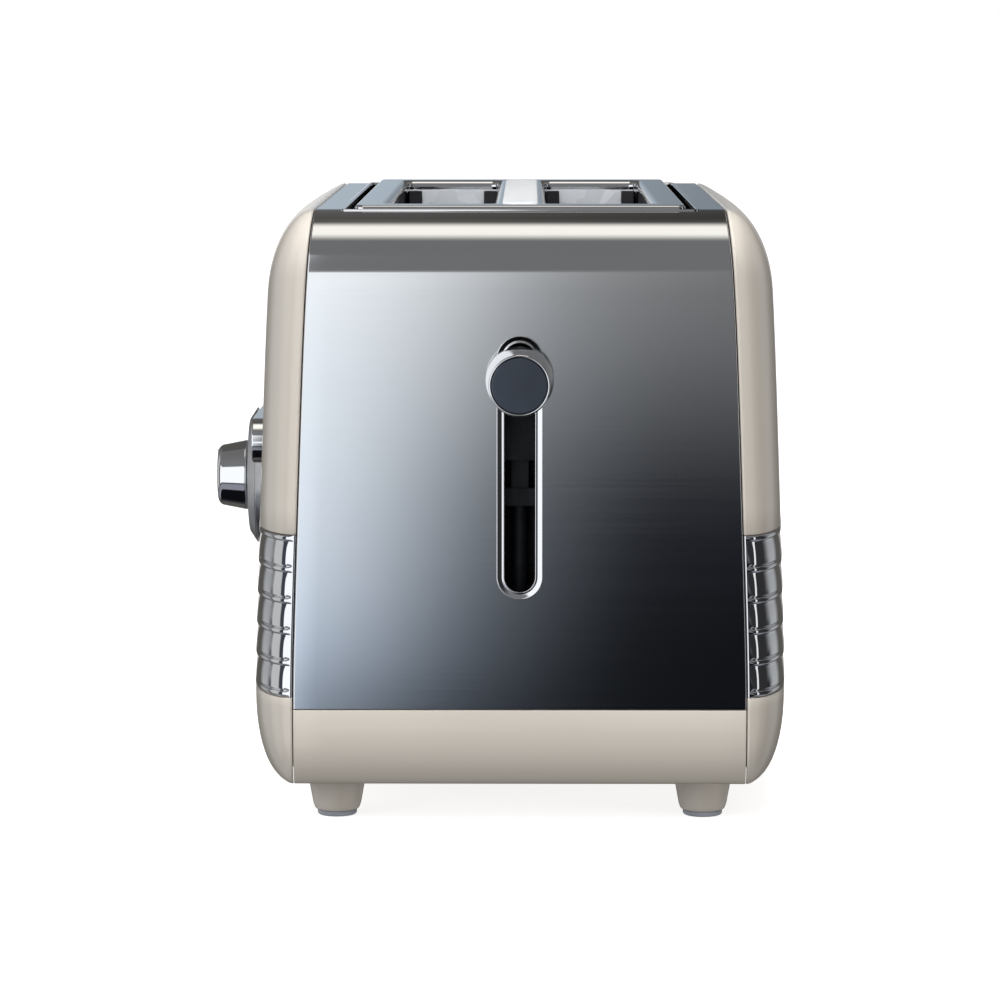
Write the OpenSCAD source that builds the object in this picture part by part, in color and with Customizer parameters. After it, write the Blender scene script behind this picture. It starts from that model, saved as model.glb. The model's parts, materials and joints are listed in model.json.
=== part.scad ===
/* Two-slot pop-up toaster: two moulded side shells on a polished steel wrap.
   X runs across the slots, Y along them with the lever at -Y, Z up from the table.
   The modules draw the body centred on X = 0, Y = 0; at_origin() then moves it so that the
   origin is the bottom centre of the whole object, knobs included. */

/* [Body] */
// Length of the steel wrap from end panel to end panel
body_l = 290; // [284:1:300]
// Height of the flat steel top above the table
top_z = 214.7; // [211:0.1:219]
// Half width of the steel wrap at the foot of its end panels
wrap_half = 78.6; // [77:0.1:82]
// Height where the end panels meet the base skirt
panel_z = 42.5; // [41:0.1:43]
// Depth over which a shell curves round from its edge to its side
shoulder = 30; // [26:1:34]
// How far a shell's side stands out from the wrap's edge
bulge = 14; // [12:0.5:16]
// Extra swell of the sides at mid length
crown = 4.1; // [2:0.1:5]
// Wall of the moulded shells
shell_t = 2.2; // [1.8:0.1:2.6]
// Sheet thickness of the steel wrap
sheet_t = 0.8; // [0.6:0.1:1]
// Radius of the bend between end panel and top
bend_r = 21; // [18:1:24]

/* [Ribbed trim] */
// Lower edge of the chrome trim
rib_low = 46.5; // [45:0.5:49]
// Upper edge of the chrome trim
rib_high = 103; // [99:0.5:104]
// Number of beads
rib_beads = 6; // [4:1:8]
// Height of one bead
bead_h = 2; // [1.6:0.1:3]

/* [Bread slots] */
// Distance of each slot's centre line from the middle
slot_x = 27.7; // [27:0.1:28.5]
// Clear width of a slot
slot_w = 37; // [34:0.5:38]
// Clear length of a slot
slot_l = 226; // [210:1:228]
// Half width of the slot bezel
bezel_half = 57.4; // [56:0.1:58]
// Half width of the opening in the steel top
opening_half = 60.8; // [60:0.1:62]

/* [Lever] */
// Height of the lever with the carriage up
lever_z = 157.5; // [155:0.5:159]
// Travel of the carriage
lever_travel = 62; // [56:1:62]
// Clear width of the lever slot
lever_slot_w = 10.4; // [9:0.2:12]
// Largest radius of the lever knob
lever_knob_r = 11.65; // [10:0.05:13]
// Distance from end panel to the knob's face
lever_reach = 31; // [28:0.5:34]

/* [Controls] */
// Height of the browning dial's axis
dial_z = 108.6; // [108:0.1:109]
// Radius of the dial at its base
dial_r = 13.3; // [12:0.1:14]
// Radius of the round plate behind the dial
plate_r = 25.7; // [24:0.1:27]
// Distance from the body's middle to the plate's front
plate_x = 102.6; // [102:0.1:104]
// Length of the dial along its axis
dial_l = 12; // [10:0.5:14]
// Half length of the control bar
bar_half = 92; // [88:1:92]
// Height of the control bar's centre
bar_z = 130; // [129.5:0.5:130.5]
// Radius of a push button
button_r = 5.8; // [5:0.1:6]

/* [Base] */
// Underside of the base floor
floor_z = 17; // [17:0.5:18]
// Sideways distance of the feet from the middle
foot_x = 64.8; // [60:0.1:66]
// Lengthways distance of the feet from the middle
foot_y = 115; // [100:1:118]
// Radius of the cord passing the inlet bush
cord_r = 3.6; // [3:0.1:4]

/* [Hidden] */

beige = [0.80, 0.76, 0.71];
chrome = [0.86, 0.87, 0.89];
steel = [0.70, 0.71, 0.73];
black = [0.08, 0.08, 0.09];
mica = [0.72, 0.66, 0.52];

half_l = body_l / 2;
core_y = half_l - shoulder;
core_z = top_z - shoulder;
shell_foot = 15;            // lowest point of the shells
shell_gap = 0.8;            // black joint between wrap and shell
side_roll = 43;             // height below which the sides tuck in
end_roll = 33;              // height below which the ends tuck in
undercut = 9.5;             // how far the sides tuck in at the bottom
end_tuck = 7;               // how far the ends tuck in at the bottom
rib_depth = 2;              // depth of the shells' recess for the trim
dial_front = plate_x + 0.5 + dial_l;
widest = wrap_half + bulge + crown + shell_gap;
tray_lip_y = half_l + 6;
origin_x = (widest - dial_front) / 2;
origin_y = (tray_lip_y - half_l - lever_reach) / 2;

bezel_top = top_z + 1.5;
opening_y = half_l - 18;    // half length of the opening in the steel top
chamber_y = 117;            // faces of the two chassis plates
chassis_low = 33;
chassis_high = 205;
rod_y = -127;
rod_r = 2.5;
side_rod_x = 20;
side_rod_r = 2;
rack_z = 125;               // bread rests here with the carriage up
bar_x = 96.2;               // outer face of the control bar
button_ys = [-76, -50, 50, 76];
tray_z = 21.5;
tray_half = 58;
run = 0.06;                 // radial clearance of a running fit

module at_origin() translate([-origin_x, -origin_y, 0]) children();
module mirrored(side) mirror([side < 0 ? 1 : 0, 0, 0]) children();
module along_x() rotate([0, 90, 0]) children();
module along_y() rotate([-90, 0, 0]) children();
module box(low, high) translate(low) cube(high - low);   // from its lowest to its highest corner

// Half width of the wrap: it narrows upwards and pinches in at the top bend.
function edge_half(z) = let (t = max(0, (z - panel_z) / (top_z - panel_z)))
    wrap_half - 6.4 * (sqrt(t * t + 0.01) - 0.1) - 1.8 * pow(t, 8);
function side_crown(y) = crown * (1 - pow(y / core_y, 2));
function tuck(z, start, depth) = z > start ? 0
    : depth * (1 - sqrt(max(0, 1 - pow((start - z) / (start - shell_foot), 2))));

// Square grid parameters a, b (0..1) spread over one rounded corner of the end outline: a straight
// run, the bend's arc and a straight run again, scaled towards the core.
flat_run = shoulder - bend_r;
half_run = flat_run + bend_r * PI / 4;
function bend_at(s) = s < flat_run ? [shoulder, s] : let (w = (s - flat_run) / bend_r * 180 / PI)
    [flat_run + bend_r * cos(w), flat_run + bend_r * sin(w)];
function corner(a, b) = max(a, b) == 0 ? [0, 0] : let (p = bend_at(half_run * min(a, b) / max(a, b)))
    (a >= b ? p : [p[1], p[0]]) * max(a, b) / shoulder;

// A column is [end, a, y] and a row is [b, z, h], with h the offset from the outer surface.
steps = 6;
function ease(k) = sin(90 * k / steps);
shell_cols = concat([for (k = [steps:-1:1]) [-1, ease(k), 0]],
    [for (y = [-core_y, -80, -40, 0, 40, 80, core_y]) [sign(y), 0, y]],
    [for (k = [1:steps]) [1, ease(k), 0]]);
function skin(col, row) = let (a = col[1], b = row[0], h = row[2],
        depth = shoulder + h,
        at = corner(a, b),
        z = b > 0 ? core_z + depth * at[1] : row[1],
        y = a > 0 ? col[0] * (core_y + (depth - tuck(z, end_roll, end_tuck)) * at[0]) : col[2],
        f = sqrt(max(0, 1 - pow(max(a, b), 2))))
    [edge_half(z) + shell_gap
        + f * (bulge + h + side_crown(y) - tuck(z, side_roll, undercut)), y, z];
function grid(rows) = [for (row = rows) [for (col = shell_cols) skin(col, row)]];

low_rows = [for (k = [0:4]) side_roll - (side_roll - shell_foot) * cos(90 * k / 4)];
top_rows = [for (k = [0:steps]) ease(k)];
outer_rows = concat([for (z = low_rows) [0, z, 0]],
    [[0, rib_low - 0.2, 0], [0, rib_low - 0.2, -rib_depth],
     [0, rib_high + 0.2, -rib_depth], [0, rib_high + 0.2, 0], [0, 148, 0]],
    [for (b = top_rows) [b, core_z, 0]]);
inner_rows = concat([for (z = low_rows) [0, z, -shell_t]],
    [[0, rib_low - 2.2, -shell_t], [0, rib_low - 2.2, -rib_depth - shell_t],
     [0, rib_high + 2.2, -rib_depth - shell_t], [0, rib_high + 2.2, -shell_t], [0, 148, -shell_t]],
    [for (b = top_rows) [b, core_z, -shell_t]]);

// Closed solid between two point grids of the same size.
module between_grids(outer, inner) {
    rows = len(outer);
    cols = len(outer[0]);
    points = concat([for (row = outer) each row], [for (row = inner) each row]);
    shift = rows * cols;
    function at(i, j, s) = s * shift + i * cols + j;
    function quad(p, q, r, s) = [[q, r, s], [q, s, p]];
    faces = concat(
        [for (i = [0:rows - 2], j = [0:cols - 2])
            each quad(at(i, j, 0), at(i + 1, j, 0), at(i + 1, j + 1, 0), at(i, j + 1, 0))],
        [for (i = [0:rows - 2], j = [0:cols - 2])
            each quad(at(i, j, 1), at(i, j + 1, 1), at(i + 1, j + 1, 1), at(i + 1, j, 1))],
        [for (j = [0:cols - 2])
            each quad(at(0, j, 0), at(0, j + 1, 0), at(0, j + 1, 1), at(0, j, 1))],
        [for (j = [0:cols - 2]) each quad(at(rows - 1, j + 1, 0), at(rows - 1, j, 0),
            at(rows - 1, j, 1), at(rows - 1, j + 1, 1))],
        [for (i = [0:rows - 2])
            each quad(at(i + 1, 0, 0), at(i, 0, 0), at(i, 0, 1), at(i + 1, 0, 1))],
        [for (i = [0:rows - 2]) each quad(at(i, cols - 1, 0), at(i + 1, cols - 1, 0),
            at(i + 1, cols - 1, 1), at(i, cols - 1, 1))]);
    polyhedron(points, faces);
}

module shell() between_grids(grid(outer_rows), grid(inner_rows));
module shell_right() color(beige) at_origin() shell();
module shell_left() color(beige) at_origin() difference() {
    mirrored(-1) shell();
    translate([-110, 0, bar_z]) along_x() pill(bar_half + 0.3, 8.3, 30);
    translate([-110, 0, dial_z]) along_x() cylinder(r = 6, h = 30, $fn = 48);
}

// Stadium across Y, extruded along Z; turned by along_x() its length stays on Y.
module pill(half, r, h) linear_extrude(h) {
    square([2 * r, 2 * (half - r)], center = true);
    for (s = [-1, 1]) translate([0, s * (half - r)]) circle(r = r, $fn = 64);
}

bead_pitch = (rib_high - rib_low - bead_h) / (rib_beads - 1);
bead_profile = [[0, -0.3], [0.25, 0.1], [0.75, 0.1], [1, -0.5]];
rib_rows = concat([for (k = [0:rib_beads - 1])
    each [for (p = bead_profile) [0, rib_low + k * bead_pitch + p[0] * bead_h, p[1]]]]);
rib_back_rows = [for (row = rib_rows) [0, row[1], -rib_depth + 0.2]];
module rib_trim() between_grids(grid(rib_rows), grid(rib_back_rows));
module rib_trim_left() color(chrome) at_origin() mirrored(-1) rib_trim();
module rib_trim_right() color(chrome) at_origin() rib_trim();

// Outline of the wrap seen from the end, and its inverted U seen from the side.
outline_zs = [for (k = [0:10]) panel_z + (top_z - panel_z) * sin(9 * k)];
module end_outline() polygon(concat([for (z = outline_zs) [edge_half(z), z]],
    [for (k = [10:-1:0]) [-edge_half(outline_zs[k]), outline_zs[k]]]));
function bend_points(inset) = [for (k = [0:12]) [half_l - bend_r + (bend_r - inset) * cos(7.5 * k),
        top_z - bend_r + (bend_r - inset) * sin(7.5 * k)]];
module u_outline(inset) polygon(concat([[half_l - inset, 0]], bend_points(inset),
    [for (k = [12:-1:0]) [-bend_points(inset)[k][0], bend_points(inset)[k][1]]],
    [[-half_l + inset, 0]]));
module steel_wrap() color(chrome) at_origin() difference() {
    intersection() {
        rotate([90, 0, 90]) translate([0, 0, -90]) linear_extrude(180) difference() {
            u_outline(0);
            u_outline(sheet_t);
        }
        rotate([90, 0, 0]) translate([0, 0, -half_l]) linear_extrude(body_l) end_outline();
    }
    box([-opening_half, -opening_y, top_z - 5], [opening_half, opening_y, top_z + 5]);
    translate([0, -half_l - 1, lever_slot_mid]) lever_pill(lever_slot_half + 0.8, 4);
    translate([cord_x, half_l - 4, cord_z]) along_y() cylinder(r = 8.2, h = 8, $fn = 48);
}

lever_slot_mid = lever_z - lever_travel / 2;
lever_slot_half = 43;
// Upright stadium extruded along Y; a longer one is wider by as much all round.
module lever_pill(half, h) along_y() pill(half, lever_slot_w / 2 + half - lever_slot_half, h);
module lever_slot_bezel() color(chrome) at_origin()
    translate([0, 0, lever_slot_mid]) difference() {
        union() {
            translate([0, -half_l - 1.3, 0]) lever_pill(lever_slot_half + 2.8, 1.25);
            translate([0, -half_l - 0.1, 0]) lever_pill(lever_slot_half + 0.7, 2.2);
        }
        translate([0, -half_l - 2, 0]) lever_pill(lever_slot_half, 6);
    }

module rounded_plate(x, y, r) {
    square([2 * x, 2 * (y - r)], center = true);
    square([2 * (x - r), 2 * y], center = true);
    for (i = [-1, 1], j = [-1, 1]) translate([i * (x - r), j * (y - r)]) circle(r = r, $fn = 32);
}
module both_slots(grow, r) for (s = [-1, 1])
    translate([s * slot_x, 0]) rounded_plate(slot_w / 2 + grow, slot_l / 2 + grow, r + grow);

module top_bezel() color(chrome) at_origin() {
    translate([0, 0, top_z + 0.2]) linear_extrude(bezel_top - top_z - 0.2) difference() {
        rounded_plate(bezel_half, opening_y + 0.5, 3);
        both_slots(0, 3);
    }
    translate([0, 0, top_z - 12]) linear_extrude(12.3) difference() {
        both_slots(0.8, 3);
        both_slots(0, 3);
    }
}
module top_well() color(black) at_origin()
    translate([0, 0, top_z - 8]) linear_extrude(1.5) difference() {
        rounded_plate(opening_half + 5, opening_y + 3, 3);
        both_slots(1.1, 3);
    }

// Base tray: a floor with a skirt at each end that rolls under.
skirt_steps = 8;
floor_t = 2.5;
floor_top = floor_z + floor_t;
function skirt_points(inset, low) = [for (k = [0:skirt_steps]) let (w = 90 * k / skirt_steps)
    [half_l - end_tuck + (end_tuck - inset) * cos(w), end_roll - (end_roll - low) * sin(w)]];
module skirt_section() difference() {
    polygon(concat([[half_l, panel_z - 0.3]], skirt_points(0, shell_foot),
        [[half_l - 20, shell_foot], [half_l - 20, panel_z - 0.3]]));
    polygon(concat([[half_l - floor_t, panel_z + 1]], skirt_points(floor_t, floor_top),
        [[half_l - 21, floor_top], [half_l - 21, panel_z + 1]]));
}
function floor_half(y) = wrap_half + shell_gap + bulge - shell_t - 6.5 + side_crown(y);
module floor_outline() {
    square([2 * wrap_half - 4, body_l - 38], center = true);
    polygon(concat([for (y = [-110:22:110]) [floor_half(y), y]],
        [for (y = [110:-22:-110]) [-floor_half(y), y]]));
}
module base() color(beige) at_origin() difference() {
    union() {
        for (s = [0, 180]) rotate([0, 0, s]) rotate([90, 0, 90])
            translate([0, 0, -wrap_half + 0.2]) linear_extrude(2 * wrap_half - 0.4) skirt_section();
        translate([0, 0, floor_z]) linear_extrude(floor_t) floor_outline();
    }
    box([-tray_half - 2, half_l - 30, tray_z - 1], [tray_half + 2, half_l + 1, tray_z + 11]);
    for (p = screw_places) translate([p[0], p[1], floor_z - 1]) cylinder(r = 1.6, h = 5, $fn = 24);
}
screw_places = [for (x = [-50, 50], y = [-96, 96]) [x, y]];
foot_places = [for (x = [-foot_x, foot_x], y = [-foot_y, foot_y]) [x, y]];
module feet() color(beige) at_origin() for (p = foot_places)
    translate([p[0], p[1], 2]) cylinder(r1 = 7.6, r2 = 10.5, h = floor_z - 2, $fn = 64);
module foot_pads() color([0.45, 0.5, 0.6]) at_origin() for (p = foot_places)
    translate([p[0], p[1], 0]) cylinder(r = 7, h = 2, $fn = 64);
module base_screws() color(steel) at_origin() for (p = screw_places)
    translate([p[0], p[1], floor_z - 1.6]) {
        cylinder(r = 3, h = 1.6, $fn = 32);
        cylinder(r = 1.5, h = 4, $fn = 24);
    }

// Toasting chamber: two chassis plates, two heat shields and three heater boards.
module chassis_plate(y) translate([0, y, 0]) rotate([90, 0, 0]) linear_extrude(1)
    translate([-61, chassis_low]) square([122, chassis_high - chassis_low]);
module front_plate() color(steel) at_origin() difference() {
    chassis_plate(-chamber_y + 1);
    for (s = [-1, 1]) box([s * slot_x - 5, -chamber_y - 1, rack_z - lever_travel - 5],
        [s * slot_x + 5, -chamber_y + 2, rack_z + 6]);
}
module rear_plate() color(steel) at_origin() chassis_plate(chamber_y);
module heat_shield(side) at_origin() box([side * 60 - 0.4, -chamber_y + 1.2, chassis_low],
    [side * 60 + 0.4, chamber_y - 1.2, chassis_high]);
module heat_shield_left() color(steel) heat_shield(-1);
module heat_shield_right() color(steel) heat_shield(1);
board_x = 52;
board_low = 53;
board_high = 193;
module heater_board(x) box([x - 0.5, -chamber_y + 1.2, board_low], [x + 0.5, chamber_y - 1.2, board_high]);
module heater_board_left() color(mica) at_origin() heater_board(-board_x);
module heater_board_centre() color(mica) at_origin() heater_board(0);
module heater_board_right() color(mica) at_origin() heater_board(board_x);
module element_side(x) for (z = [board_low + 12:11:board_high - 10])
    box([x - 0.15, -chamber_y + 12, z], [x + 0.15, chamber_y - 12, z + 1.6]);
module heating_elements() color([0.5, 0.42, 0.36]) at_origin()
    for (x = [-board_x + 0.8, -0.8, 0.8, board_x - 0.8]) element_side(x);

// Bread guides: wire grids that close on the bread as the carriage drops.
grid_shift = 6;
grid_y = 108;
module bread_grid(x) at_origin() {
    for (z = [board_low + 4, chassis_high - 14]) box([x - 1.2, -grid_y, z], [x + 1.2, grid_y, z + 3]);
    for (k = [0:12]) translate([x, -grid_y + 6 + 16 * k, board_low + 5])
        cylinder(r = 1, h = chassis_high - board_low - 18, $fn = 16);
}
grid_off = slot_w / 2 + 2.2;
module grid_left_outer() color(chrome) bread_grid(-slot_x - grid_off);
module grid_left_inner() color(chrome) bread_grid(-slot_x + grid_off);
module grid_right_inner() color(chrome) bread_grid(slot_x - grid_off);
module grid_right_outer() color(chrome) bread_grid(slot_x + grid_off);

// Lift: the carriage runs on two rods in the bay behind the lever slot.
module rod_bracket(z) difference() {
    box([-30, -chamber_y - 18, z], [30, -chamber_y - 0.1, z + 2]);
    translate([0, rod_y, z - 1]) cylinder(r = rod_r + 0.02, h = 4, $fn = 48);
    translate([side_rod_x, rod_y, z - 1]) cylinder(r = side_rod_r + 0.02, h = 4, $fn = 48);
}
bracket_low = 37;
bracket_high = 191;
module rod_brackets() color(steel) at_origin() {
    rod_bracket(bracket_low);
    rod_bracket(bracket_high);
}
module guide_rods() color(chrome) at_origin() {
    translate([0, rod_y, bracket_low - 1]) cylinder(r = rod_r, h = bracket_high - bracket_low + 4, $fn = 48);
    translate([side_rod_x, rod_y, bracket_low - 1])
        cylinder(r = side_rod_r, h = bracket_high - bracket_low + 4, $fn = 48);
}
plate_y = -chamber_y - 4;
module carriage() color([0.45, 0.46, 0.48]) at_origin() difference() {
    union() {
        box([-7, rod_y - 5, rack_z + 3], [7, rod_y + 5, rack_z + 38]);
        box([-7, rod_y - 5, rack_z - 13], [7, plate_y + 0.5, rack_z - 7]);
        box([-3, rod_y - 3, rack_z - 8], [3, plate_y + 0.5, rack_z + 4]);
        translate([side_rod_x, rod_y, rack_z]) cylinder(r = 4, h = 16, $fn = 48);
        box([-38, plate_y, rack_z - 4], [38, plate_y + 1.5, rack_z + 14]);
        box([-2.5, rod_y + 3, rack_z], [2.5, plate_y + 0.5, rack_z + 30]);
        box([side_rod_x - 2, rod_y + 2, rack_z], [side_rod_x + 2, plate_y + 0.5, rack_z + 12]);
        box([-16, rod_y - 2, rack_z + 10], [-4, plate_y + 0.5, rack_z + 12]);
        for (s = [-1, 1]) box([s * slot_x - 3, plate_y + 1, rack_z - 3],
            [s * slot_x + 3, -chamber_y + 13, rack_z - 1]);
    }
    translate([0, rod_y, 0]) cylinder(r = rod_r + run, h = top_z, $fn = 48);
    translate([side_rod_x, rod_y, 0]) cylinder(r = side_rod_r + run, h = top_z, $fn = 48);
}
module bread_rack(side) at_origin() {
    box([side * slot_x - 0.6, -105, rack_z - 1], [side * slot_x + 0.6, 105, rack_z + 1]);
    for (k = [0:8]) box([side * slot_x - 7, -101 + 25 * k, rack_z - 1],
        [side * slot_x + 7, -99.5 + 25 * k, rack_z]);
    box([side * slot_x - 3, -109, rack_z - 1], [side * slot_x + 3, -104, rack_z + 1]);
}
module bread_rack_left() color(steel) bread_rack(-1);
module bread_rack_right() color(steel) bread_rack(1);

// Extension spring between the upper bracket and the carriage's lug.
spring_x = -11;
spring_low = rack_z + 12.3;
spring_high = bracket_high - 0.3;
spring_turns = 12;
spring_r = 3;
wire_r = 0.5;
turn_steps = 12;
function helix(k, w) = let (t = 360 * k / turn_steps, last = spring_turns * turn_steps,
        climb = spring_low + wire_r + (spring_high - spring_low - 2 * wire_r) * k / last)
    [(spring_r + wire_r * cos(w)) * cos(t) + spring_x, (spring_r + wire_r * cos(w)) * sin(t) + rod_y,
     climb + wire_r * sin(w)];
module carriage_spring() color(chrome) at_origin() {
    sides = 5;
    last = spring_turns * turn_steps;
    points = [for (k = [0:last], i = [0:sides - 1]) helix(k, 360 * i / sides)];
    walls = [for (k = [0:last - 1], i = [0:sides - 1]) let (j = (i + 1) % sides)
        each [[k * sides + i, k * sides + j, (k + 1) * sides + j],
              [k * sides + i, (k + 1) * sides + j, (k + 1) * sides + i]]];
    polyhedron(points, concat(walls, [[for (i = [sides - 1:-1:0]) i]],
        [[for (i = [0:sides - 1]) last * sides + i]]));
}

knob_back = half_l + 9;
knob_front = half_l + lever_reach;
module lever_arm() color([0.3, 0.31, 0.33]) at_origin()
    box([-2.5, -knob_back - 12, lever_z - 4], [2.5, rod_y - 5.05, lever_z + 4]);
module lever_knob() color(chrome) at_origin() difference() {
    translate([0, -knob_back, lever_z]) rotate([90, 0, 0])
        cylinder(r1 = lever_knob_r, r2 = 10.4, h = knob_front - knob_back - 0.2, $fn = 96);
    translate([0, -knob_front + 1, lever_z]) rotate([90, 0, 0]) cylinder(r = 9.6, h = 3, $fn = 96);
    box([-2.6, -knob_back - 12.1, lever_z - 4.1], [2.6, -knob_back + 1, lever_z + 4.1]);
}
module lever_knob_cap() color([0.22, 0.25, 0.3]) at_origin()
    translate([0, -knob_front + 1, lever_z]) rotate([90, 0, 0]) cylinder(r = 9.5, h = 1, $fn = 96);

module keeper_plate() color(steel) at_origin()
    box([24.5, plate_y - 8, rack_z - 4], [36.5, plate_y, rack_z - 2]);
magnet_top = rack_z - 4 - lever_travel - 0.3;
module electromagnet() color([0.55, 0.3, 0.15]) at_origin() {
    box([25, plate_y - 8, magnet_top - 4], [36, plate_y - 0.5, magnet_top]);
    translate([30.5, plate_y - 4.5, bracket_low + 2]) cylinder(r = 4.5, h = magnet_top - bracket_low - 5, $fn = 48);
    box([24, plate_y - 9, bracket_low + 2], [37, plate_y - 0.5, bracket_low + 4.2]);
}
module power_switch() color([0.12, 0.12, 0.13]) at_origin()
    box([-38, plate_y - 9, bracket_low], [-31, plate_y - 1, rack_z - lever_travel - 5]);

cord_x = -46;
cord_z = 65;
module terminal_block() color([0.9, 0.9, 0.86]) at_origin() difference() {
    box([cord_x - 14, chamber_y + 0.3, cord_z - 8], [cord_x + 14, chamber_y + 12, cord_z + 4]);
    for (k = [-1:1]) translate([cord_x + 9 * k, chamber_y + 6, cord_z - 1]) cylinder(r = 2, h = 9, $fn = 24);
}
module cord_bush() color(black) at_origin() translate([cord_x, 0, cord_z]) along_y() difference() {
    union() {
        translate([0, 0, half_l - 8]) cylinder(r = 8, h = 9, $fn = 64);
        translate([0, 0, half_l + 0.05]) cylinder(r = 10, h = 3, $fn = 64);
    }
    cylinder(r = cord_r, h = 200, $fn = 64);
}

// Controls on the side: board, dial and push buttons in a long chrome bar.
board_face = 84.5;
module control_board() color([0.1, 0.3, 0.2]) at_origin() {
    difference() {
        box([-board_face, -88, 93], [-board_face + 1.5, 88, 143]);
        translate([-100, 0, dial_z]) along_x() cylinder(r = 4, h = 30, $fn = 32);
    }
    for (y = button_ys) box([-board_face - 2, y - 3, bar_z - 3], [-board_face + 0.1, y + 3, bar_z + 3]);
}
module potentiometer() color([0.3, 0.35, 0.4]) at_origin() translate([-board_face + 1.6, 0, dial_z])
    along_x() difference() {
        cylinder(r = 8.5, h = 8, $fn = 64);
        translate([0, 0, -1]) cylinder(r = 3 + run, h = 6, $fn = 48);
    }
module dial_shaft() color(steel) at_origin() translate([-plate_x - 8, 0, dial_z])
    along_x() cylinder(r = 3, h = plate_x + 8 - board_face + 3, $fn = 48);
module dial_plate() color([0.62, 0.62, 0.63]) at_origin() translate([-plate_x, 0, dial_z])
    along_x() difference() {
        union() {
            cylinder(r1 = plate_r - 4.4, r2 = plate_r, h = 3, $fn = 96);
            translate([0, 0, 2.9]) cylinder(r = plate_r - 1.2, h = 3.2, $fn = 96);
            translate([0, 0, 6]) cylinder(r = 5.5, h = 3, $fn = 48);
        }
        translate([0, 0, -1]) cylinder(r = 3 + run, h = 20, $fn = 48);
    }
module browning_dial() color(chrome) at_origin() translate([-dial_front, 0, dial_z])
    along_x() difference() {
        union() {
            translate([0, 0, 1.5]) cylinder(r1 = dial_r - 1.6, r2 = dial_r, h = dial_l - 1.5, $fn = 96);
            cylinder(r1 = dial_r - 3, r2 = dial_r - 1.6, h = 1.5, $fn = 96);
        }
        translate([0, 0, dial_front - plate_x - 8 - 0.05]) cylinder(r = 3.02, h = 20, $fn = 48);
    }
module control_bar() color(chrome) at_origin() difference() {
    translate([-bar_x, 0, bar_z]) along_x() {
        pill(bar_half - 1, 7, 7);
        translate([0, 0, 1]) pill(bar_half, 8, 6);
    }
    for (y = button_ys) translate([-bar_x - 1, y, bar_z]) along_x()
        cylinder(r = button_r + run, h = 20, $fn = 64);
}
module button(k) at_origin() translate([-bar_x - 0.4, button_ys[k], bar_z]) along_x() {
    cylinder(r = button_r, h = 4.5, $fn = 64);
    cylinder(r = 2, h = bar_x + 0.4 - board_face - 3.8, $fn = 32);
}
module button_reheat() color(chrome) button(0);
module button_defrost() color(chrome) button(1);
module button_one_side() color(chrome) button(2);
module button_cancel() color(chrome) button(3);

module crumb_tray() color(steel) at_origin() difference() {
    box([-tray_half, -104, tray_z], [tray_half, half_l - 4, tray_z + 8]);
    box([-tray_half + 0.8, -103.2, tray_z + 0.8], [tray_half - 0.8, half_l - 4.8, tray_z + 9]);
}
module tray_front() color(beige) at_origin() {
    box([-tray_half - 1.5, half_l - 3.9, tray_z - 0.5], [tray_half + 1.5, half_l - 0.4, tray_z + 10]);
    translate([0, 0, tray_z + 5]) rotate([90, 0, 90]) translate([0, 0, -20]) linear_extrude(40) {
        translate([half_l - 0.5, -1.5]) square([4.9, 3]);
        translate([half_l + 4.4, 0]) circle(r = 1.6, $fn = 32);
    }
}

shell_left();
shell_right();
rib_trim_left();
rib_trim_right();
steel_wrap();
top_bezel();
top_well();
lever_slot_bezel();
base();
feet();
foot_pads();
base_screws();
front_plate();
rear_plate();
heat_shield_left();
heat_shield_right();
heater_board_left();
heater_board_centre();
heater_board_right();
heating_elements();
grid_left_outer();
grid_left_inner();
grid_right_inner();
grid_right_outer();
rod_brackets();
guide_rods();
carriage();
carriage_spring();
bread_rack_left();
bread_rack_right();
lever_arm();
lever_knob();
lever_knob_cap();
keeper_plate();
electromagnet();
power_switch();
terminal_block();
cord_bush();
control_board();
potentiometer();
dial_plate();
dial_shaft();
browning_dial();
control_bar();
button_reheat();
button_defrost();
button_one_side();
button_cancel();
crumb_tray();
tray_front();
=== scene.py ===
"""Looks for the two-slot toaster: detailed meshes, procedural materials, studio light and camera.

Lengths are millimetres in the toaster's own body frame (X across the slots, Y along them, Z up, the
body centred on X = 0, Y = 0); frame_point() turns them into the CAD frame's metres.
"""
import json
import math

import bmesh
import bpy
from mathutils import Euler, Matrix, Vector
from mathutils.geometry import tessellate_polygon

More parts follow.
